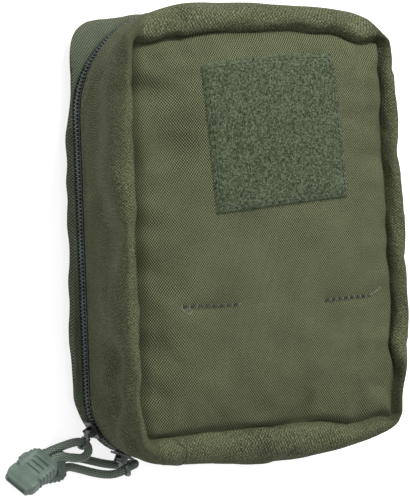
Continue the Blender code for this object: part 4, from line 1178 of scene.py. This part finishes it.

# %% [markdown]
# The rear half is a shallow dish of the same cloth, painted paler as light from the floor. Only its edge
# shows beside the zip: a soft fold whose outline wanders, because nothing fills it. Its flat back is a
# second sheet, joined at a turned edge.

# %% Rear shell
REAR_RIM_Z, BACK_Z, REAR_FULL_Z = 11.4 * MM, 3.6 * MM, 7.4 * MM
REAR_FULL = np.array([65.0, -97.0, 96.5, 20.0, 7.0, 5.7, 2.0, 6.5]) * MM
REAR_FLAT = np.array([59.5, -91.0, 91.5, 16.0, 6.0, 5.0, 2.0, 5.0]) * MM
stations = [
    (REAR_RIM_Z - 0.9 * MM, grown(ZIP_LINE, -1.5 * MM)),
    (REAR_RIM_Z + 0.2 * MM, grown(ZIP_LINE, -0.9 * MM)),
    (REAR_RIM_Z + 0.4 * MM, grown(ZIP_LINE, 0.0)),
    (REAR_RIM_Z - 0.6 * MM, mixed(ZIP_LINE, REAR_FULL, 0.25)),
    (REAR_FULL_Z + 1.4 * MM, mixed(ZIP_LINE, REAR_FULL, 0.8)),
    (REAR_FULL_Z, REAR_FULL),
    (BACK_Z + 1.7 * MM, mixed(REAR_FULL, REAR_FLAT, 0.40)),
    (BACK_Z + 0.3 * MM, mixed(REAR_FULL, REAR_FLAT, 0.80)),
    (BACK_Z, REAR_FLAT),
]
for share in (0.96, 0.85, 0.7, 0.5, 0.3, 0.12, 0.02):
    stations.append((BACK_Z, REAR_FLAT * share))
shell = loft(stations, 64)
rise = np.linspace(0, 1, len(shell))[:, None]
skirt = ease((rise - 0.03) / 0.05) * (1 - ease((rise - 0.16) / 0.08))
flat_back = ease((rise - 0.2) / 0.05)
drawn = shell * (1, 1, 0.3)
wander = surface_noise(drawn, 17.0, 7) * 1.3 + surface_noise(drawn, 7.0, 8) * 0.45
bulges = dents(shell, (((-70.0, -56.0, 8.0), 26, 2.8), ((-68.0, 70.0, 8.0), 20, -0.8)))
shell += normals_of(shell) * (-skirt * (wander * MM + bulges))[..., None]
shell[..., 2] += flat_back * np.abs(surface_noise(shell, 22.0, 9)) * 0.5 * MM


def flat_uvs(piece):
    """Lay a piece's UVs straight down, in mm."""
    mesh = piece.data
    corners = np.empty(len(mesh.loops), dtype=int)
    mesh.loops.foreach_get("vertex_index", corners)
    spots = np.empty(len(mesh.vertices) * 3)
    mesh.vertices.foreach_get("co", spots)
    spots = spots.reshape(-1, 3)[corners, :2] / MM
    mesh.uv_layers[0].data.foreach_set("uv", spots.astype(np.float32).ravel())


shell_form = ("rear_shell_cloth", [shell], rear_cloth_painted_paler, "rear_half", "pouch_cloth", "rear_shell")
rear_shell = add_piece(*shell_form, closed=True, flip=True)
flat_uvs(rear_shell)
print(rear_shell.name, len(rear_shell.data.vertices), "points")

# %% [markdown]
# At the bottom the zip stops and a plain strip of cloth joins the halves: the hinge. It is a plain grid,
# bowed out a little, and is attached to neither half.

# %% Hinge strip
x, z = np.meshgrid(np.linspace(-33.6, 33.6, 60) * MM, np.linspace(10.6, 21.6, 24) * MM)
y = -100.4 * MM - 0.6 * MM * np.sin((z - z[0, 0]) / (z[-1, 0] - z[0, 0]) * math.pi)
strip = np.stack([x, y, z], 2)
strip[..., 1] += surface_noise(strip, 9.0, 10) * 0.25 * MM
hinge = add_piece("hinge_strip_cloth", [strip], pouch_cloth, None, "pouch_cloth", "hinge_strip")
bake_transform(hinge)
print(hinge.name, "bends with the cover")

# %% [markdown]
# On the back, three rows of webbing are sewn across, and two straps weave down over them to a press stud.
# Webbing is a flat woven strap with rounded edges: sweeping a thin rounded section along a path, and
# keeping the path's bends soft, gives it; dense zigzag tacks fix each strap's upper end, and columns of
# slanting stitches fix the rows.

# %% Webbing and straps
WEBBING_WIDTH, WEBBING_THICKNESS = 25.0 * MM, 1.5 * MM
STRAP_X = 38.0 * MM
ROW_HEIGHTS = (56.0 * MM, 5.2 * MM, -45.6 * MM)
ROW_Z, BACK_TACK_Z = 2.55 * MM, 1.75 * MM
STRAP_KNOTS = (
    (86.0, 2.55), (80.0, 2.55), (76.6, 2.45), (73.1, 1.65), (69.6, 0.85), (66.0, 0.75), (30.0, 0.75),
    (-20.0, 0.75), (-56.0, 0.75), (-58.9, 0.85), (-60.7, 1.65), (-62.5, 2.45), (-65.0, 2.55), (-84.0, 2.55),
)


def sweep_strap(path, side, width, thickness, count=44):
    """A strap along a path; side is the direction of its width."""
    path, side = np.asarray(path), np.asarray(side, dtype=float)
    along = np.gradient(path, axis=0)
    along /= np.linalg.norm(along, axis=1)[:, None]
    section = rounded_section(width / 2, thickness / 2, 0.45 * thickness, count)
    return np.array([
        point + section[:, :1] * side + section[:, 1:] * np.cross(direction, side)
        for point, direction in zip(path, along)
    ])


def row_tack(x, height):
    """A column of slanting stitches that fixes a webbing row at one place."""
    threads = []
    for share in range(9):
        y = height - 11.0 * MM + 22.0 * MM * share / 9
        start, end = (x - 0.8 * MM, y, BACK_TACK_Z), (x + 0.8 * MM, y + 1.6 * MM, BACK_TACK_Z)
        threads.append(stitch(start, end, (0, 0, -0.22 * MM), 0.20 * MM))
    return threads


def strap_tack(x, half_width, low, high, step=1.0 * MM):
    """Dense zigzag that fixes a strap's head, as short stitches."""
    threads = []
    count = int(2 * half_width / step)
    for index in range(count):
        place = x - half_width + 2 * half_width * (index + 0.5) / count
        start, end = (place - step * 0.3, low, BACK_TACK_Z), (place + step * 0.3, high, BACK_TACK_Z)
        threads.append(stitch(start, end, (0, 0, -0.25 * MM), 0.20 * MM))
    return threads


sewing = []
for number, height in enumerate(ROW_HEIGHTS, 1):
    path = [(x, height, ROW_Z) for x in np.linspace(-58, 58, 90) * MM]
    rows = sweep_strap(path, (0, 1, 0), WEBBING_WIDTH, WEBBING_THICKNESS)
    name = f"webbing_row_{number}"
    add_piece(name + "_weave", [rows], strap_weave, "rear_half", "webbing", name, **SOLID)
    for x in (-56.5, -19.0, 19.0, 56.5):
        sewing += row_tack(x * MM, height)
for word, x in (("left", -STRAP_X), ("right", STRAP_X)):
    path = smooth_path([(x, y * MM, z * MM) for y, z in STRAP_KNOTS], 12)
    rows = sweep_strap(path, (1, 0, 0), WEBBING_WIDTH, WEBBING_THICKNESS)
    name = f"back_strap_{word}"
    add_piece(name + "_weave", [rows], strap_weave, "rear_half", "webbing", name, **SOLID)
    sewing += strap_tack(x, 11 * MM, 79.5 * MM, 84.5 * MM)
add_piece("back_tacks", sewing, olive_thread, "rear_half", "webbing", **SOLID)
print(len(sewing), "stitches on the back")

# %% [markdown]
# A press stud's cap is a thin pressed cup with a rolled rim. Turning a profile round its axis, as a lathe
# does, makes it in one go.

# %% Press studs


def lathe(profile_mm, centre, sides=48):
    """Rings of a profile (radius, height) turned round an upright axis."""
    turns = np.arange(sides) * math.tau / sides
    circle = np.stack([np.cos(turns), np.sin(turns)], 1)
    return np.array([at_height(np.array(centre) + r * MM * circle, z * MM) for r, z in profile_mm])


STUD_PROFILE = (
    (6.3, 1.5), (6.5, 1.2), (6.5, 0.75), (6.2, 0.42), (5.7, 0.32), (5.2, 0.45), (4.8, 0.62), (4.2, 0.60),
    (3.0, 0.46), (1.6, 0.40), (0.05, 0.38),
)
for word, x in (("left", -STRAP_X), ("right", STRAP_X)):
    rings = lathe(STUD_PROFILE, (x, -73.0 * MM))
    name = f"press_stud_{word}"
    add_piece(name + "_cap", [rings], stud_metal, "rear_half", "stud_metal", name, flip=True, **SOLID)
print("two stud caps")

# %% [markdown]
# Inside, a flat organiser lies in the rear half, and everything stands on it. Flat pieces share one form:
# rings that shrink towards the middle on both faces, with a rounded edge between. How far the faces swell
# sets a limp packet apart from a stiff carton, and UVs laid straight down keep paper and cloth even.

# %% Flat pieces


def slab_rings(line, low, high, edge, swell, crumple, seed):
    """Closed skin of a flat piece: bottom face, rounded edge, top face."""
    middle = np.array([0.0, (line[1] + line[2]) / 2])
    edge_ring = outline(line)
    centre, half = (low + high) / 2, (high - low) / 2
    rings = []
    shares = [0.03, 0.12, 0.25, 0.4, 0.55, 0.7, 0.82, 0.91]
    for sign, order in ((-1, shares), (1, shares[::-1])):
        for share in order:
            rise = half * (1 - swell * share**3)
            rings.append(at_height(middle + (edge_ring - middle) * share, centre + sign * rise))
        if sign < 0:
            for turn in np.radians(np.linspace(-90, 90, 9)):
                inset = edge * (1 - math.cos(turn))
                rise = half * (1 - swell) * math.sin(turn)
                rings.append(at_height(outline(grown(line, -inset)), centre + rise))
    rings = np.array(rings)
    if crumple:
        above = rings[..., 2] - centre
        fade = ease((half - np.abs(above)) / half + 0.6)
        rings[..., 2] -= np.sign(above) * np.abs(surface_noise(rings, 11.0, seed)) * crumple * fade
    return rings


def add_flat(name, node, line, heights, edge, swell, finish, body, slot, crumple=0.0, seed=20, shift=0.0):
    """A flat piece from (half width, bottom, top, corner), two heights, edge, crumple and shift in mm."""
    half_width, bottom, top, corner = line
    form = np.array([half_width, bottom, top, corner, corner, 0, 0, 0]) * MM
    low, high = heights
    rings = slab_rings(form, low * MM, high * MM, edge * MM, swell, crumple * MM, seed)
    rings[..., 0] += shift * MM
    piece = add_piece(name, [rings], finish, body, slot, node, **SOLID)
    flat_uvs(piece)
    return piece


# flat pieces need fewer points round their outlines
ARC_POINTS, SIDE_POINTS, END_POINTS = 8, 26, 22
PACKET_SHIFT = -26
organiser = add_flat(
    "organiser_pad", "organiser_panel", (54, -83, 83, 12), (5.4, 6.6), 0.5, 0.0, lining_cloth, "rear_half",
    "lining_cloth",
)
foil = add_flat(
    "foil_blanket_packet", "foil_blanket_pack", (30, -83, -5, 3), (6.9, 20.9), 2.0, 0.35, foil_film,
    "rear_half", "foil_wrap", 1.6, 21, PACKET_SHIFT,
)
dressing = add_flat(
    "dressing_packet", "dressing_pack", (27, -80, -8, 1.5), (21.2, 33.2), 0.5, 0.75, wrap_paper,
    "rear_half", "paper_wrap", 0.8, 22, PACKET_SHIFT,
)
add_flat(
    "plaster_carton", "plaster_pack", (24, -77, -11, 0.8), (33.5, 39.5), 0.6, 0.05, carton_board,
    "rear_half", "carton", 0.15, 23, PACKET_SHIFT,
)
print("organiser and three packets")

# %% [markdown]
# A rolled bandage is a long strip wound on itself: its ends show the spiral of the layers, and its outer
# edge stops in a small step along the side. The roll is a loft along its axis; each end face is a set of
# rings whose height follows a saw-tooth that advances with the turn, which is what a spiral is.

# %% Rolled bandages and their elastic loops
BANDAGE_RADIUS, LAYER = 17.0 * MM, 1.3 * MM
BANDAGE_Z, BANDAGE_LOW, BANDAGE_HIGH = 23.9 * MM, 9.0 * MM, 79.0 * MM
turns = np.arange(120) * math.tau / 120


def bandage_rings(x, seed):
    """Rings along one rolled bandage with spiral ends."""
    step = 0.7 * MM * ((turns / math.tau + 0.13 * seed) % 1.0)
    radii = BANDAGE_RADIUS - 0.9 * MM + step
    faces = []
    for end, sign in ((BANDAGE_LOW, -1), (BANDAGE_HIGH, 1)):
        face = []
        for share in np.linspace(0.06, 0.985, 46):
            saw = (share * BANDAGE_RADIUS / LAYER - turns / math.tau) % 1.0
            sunk = (1.6 - 1.1 * np.sin(saw * math.pi)) * MM * (0.5 + 0.5 * share)
            face.append((share * radii, end - sign * sunk))
        faces.append(face)
    sides = np.linspace(BANDAGE_LOW + 0.6 * MM, BANDAGE_HIGH - 0.6 * MM, 40)
    rings = faces[0] + [(radii, np.full(len(turns), y)) for y in sides] + faces[1][::-1]
    wound = [np.column_stack([x + r * np.cos(turns), y, BANDAGE_Z + r * np.sin(turns)]) for r, y in rings]
    points = np.array(wound)
    side = (points - (x, 0.0, BANDAGE_Z)) * (1, 0, 1) / BANDAGE_RADIUS
    return points + side * (surface_noise(points * (1, 2.5, 1), 3.0, seed) * 0.35 * MM)[..., None]


LOOP_RADIUS, LOOP_Y = BANDAGE_RADIUS + 0.85 * MM, 44.0 * MM
BANDAGE_PLACES = (("left", -38.5 * MM), ("middle", 0.0), ("right", 38.5 * MM))
legs = np.linspace(7.0, 22.0, 8) * MM
for seed, (word, x) in enumerate(BANDAGE_PLACES, 30):
    name = f"bandage_{word}"
    rings = bandage_rings(x, seed)
    add_piece(name + "_roll", [rings], crepe_cotton, "rear_half", "cotton", name, flip=True, **SOLID)
    arch = [(x + LOOP_RADIUS, LOOP_Y, z) for z in legs]
    for turn in np.linspace(0, math.pi, 40):
        rise = BANDAGE_Z + LOOP_RADIUS * math.sin(turn)
        arch.append((x + LOOP_RADIUS * math.cos(turn), LOOP_Y, rise))
    arch += [(x - LOOP_RADIUS, LOOP_Y, z) for z in legs[::-1]]
    rows = sweep_strap(arch, (0, 1, 0), 25.0 * MM, 0.95 * MM, 60)
    name = f"elastic_loop_{word}"
    add_piece(name + "_band", [rows], rib_elastic, "rear_half", "elastic", name, **SOLID)
print("three bandages in their loops")

# %% [markdown]
# The roll of plaster tape is wound on a board core. Its flat sides show the edges of the layers as fine
# rings, which the lathe profile gives directly.

# %% Roll of tape
profile = [(12.5, 6.9), (12.5, 31.9), (13.6, 31.9), (13.7, 31.2)]
for index, r in enumerate(np.linspace(13.9, 22.6, 40)):
    profile.append((r, 31.7 - (0.28 if index % 2 else 0.0)))
profile += [(23.0, 31.5), (23.0, 7.3)]
for index, r in enumerate(np.linspace(22.6, 13.9, 40)):
    profile.append((r, 7.1 + (0.28 if index % 2 else 0.0)))
profile += [(13.7, 7.6), (13.6, 6.9), (12.5, 6.9)]
rings = lathe(profile, (31.0 * MM, -50.0 * MM), 96)
roll_form = ("tape_roll_wound", [rings], cotton_tape, "rear_half", "tape", "tape_roll")
add_piece(*roll_form, closed=True, flip=True)
print("roll of tape")

# %% [markdown]
# Behind the bar tacks lies a flat pocket on the inside of the panel. It is thin lining with a bound upper
# edge, and it moves with the cover.

# %% Lid pocket
POCKET_TOP = 63.6 * MM
pocket = add_flat(
    "lid_pocket_lining", "lid_pocket", (58.5, -80.0, -30.0, 1.5), (62.2, 63.0), 0.35, 0.0, lining_cloth,
    "cover", "lining_cloth", 0.25, 24,
)
for vert in pocket.data.vertices:
    vert.co.z -= max(0.0, POCKET_TOP - panel_top(vert.co.x, vert.co.y))
path = [(x, -34.0 * MM, 61.1 * MM) for x in np.linspace(-58.5, 58.5, 80) * MM]
rows = sweep_strap(path, (0, 1, 0), 8.0 * MM, 1.5 * MM, 40)
add_piece("lid_pocket_tape", [rows], tape_cloth, "cover", "lining_cloth", "lid_pocket_binding", **SOLID)
print("lid pocket")
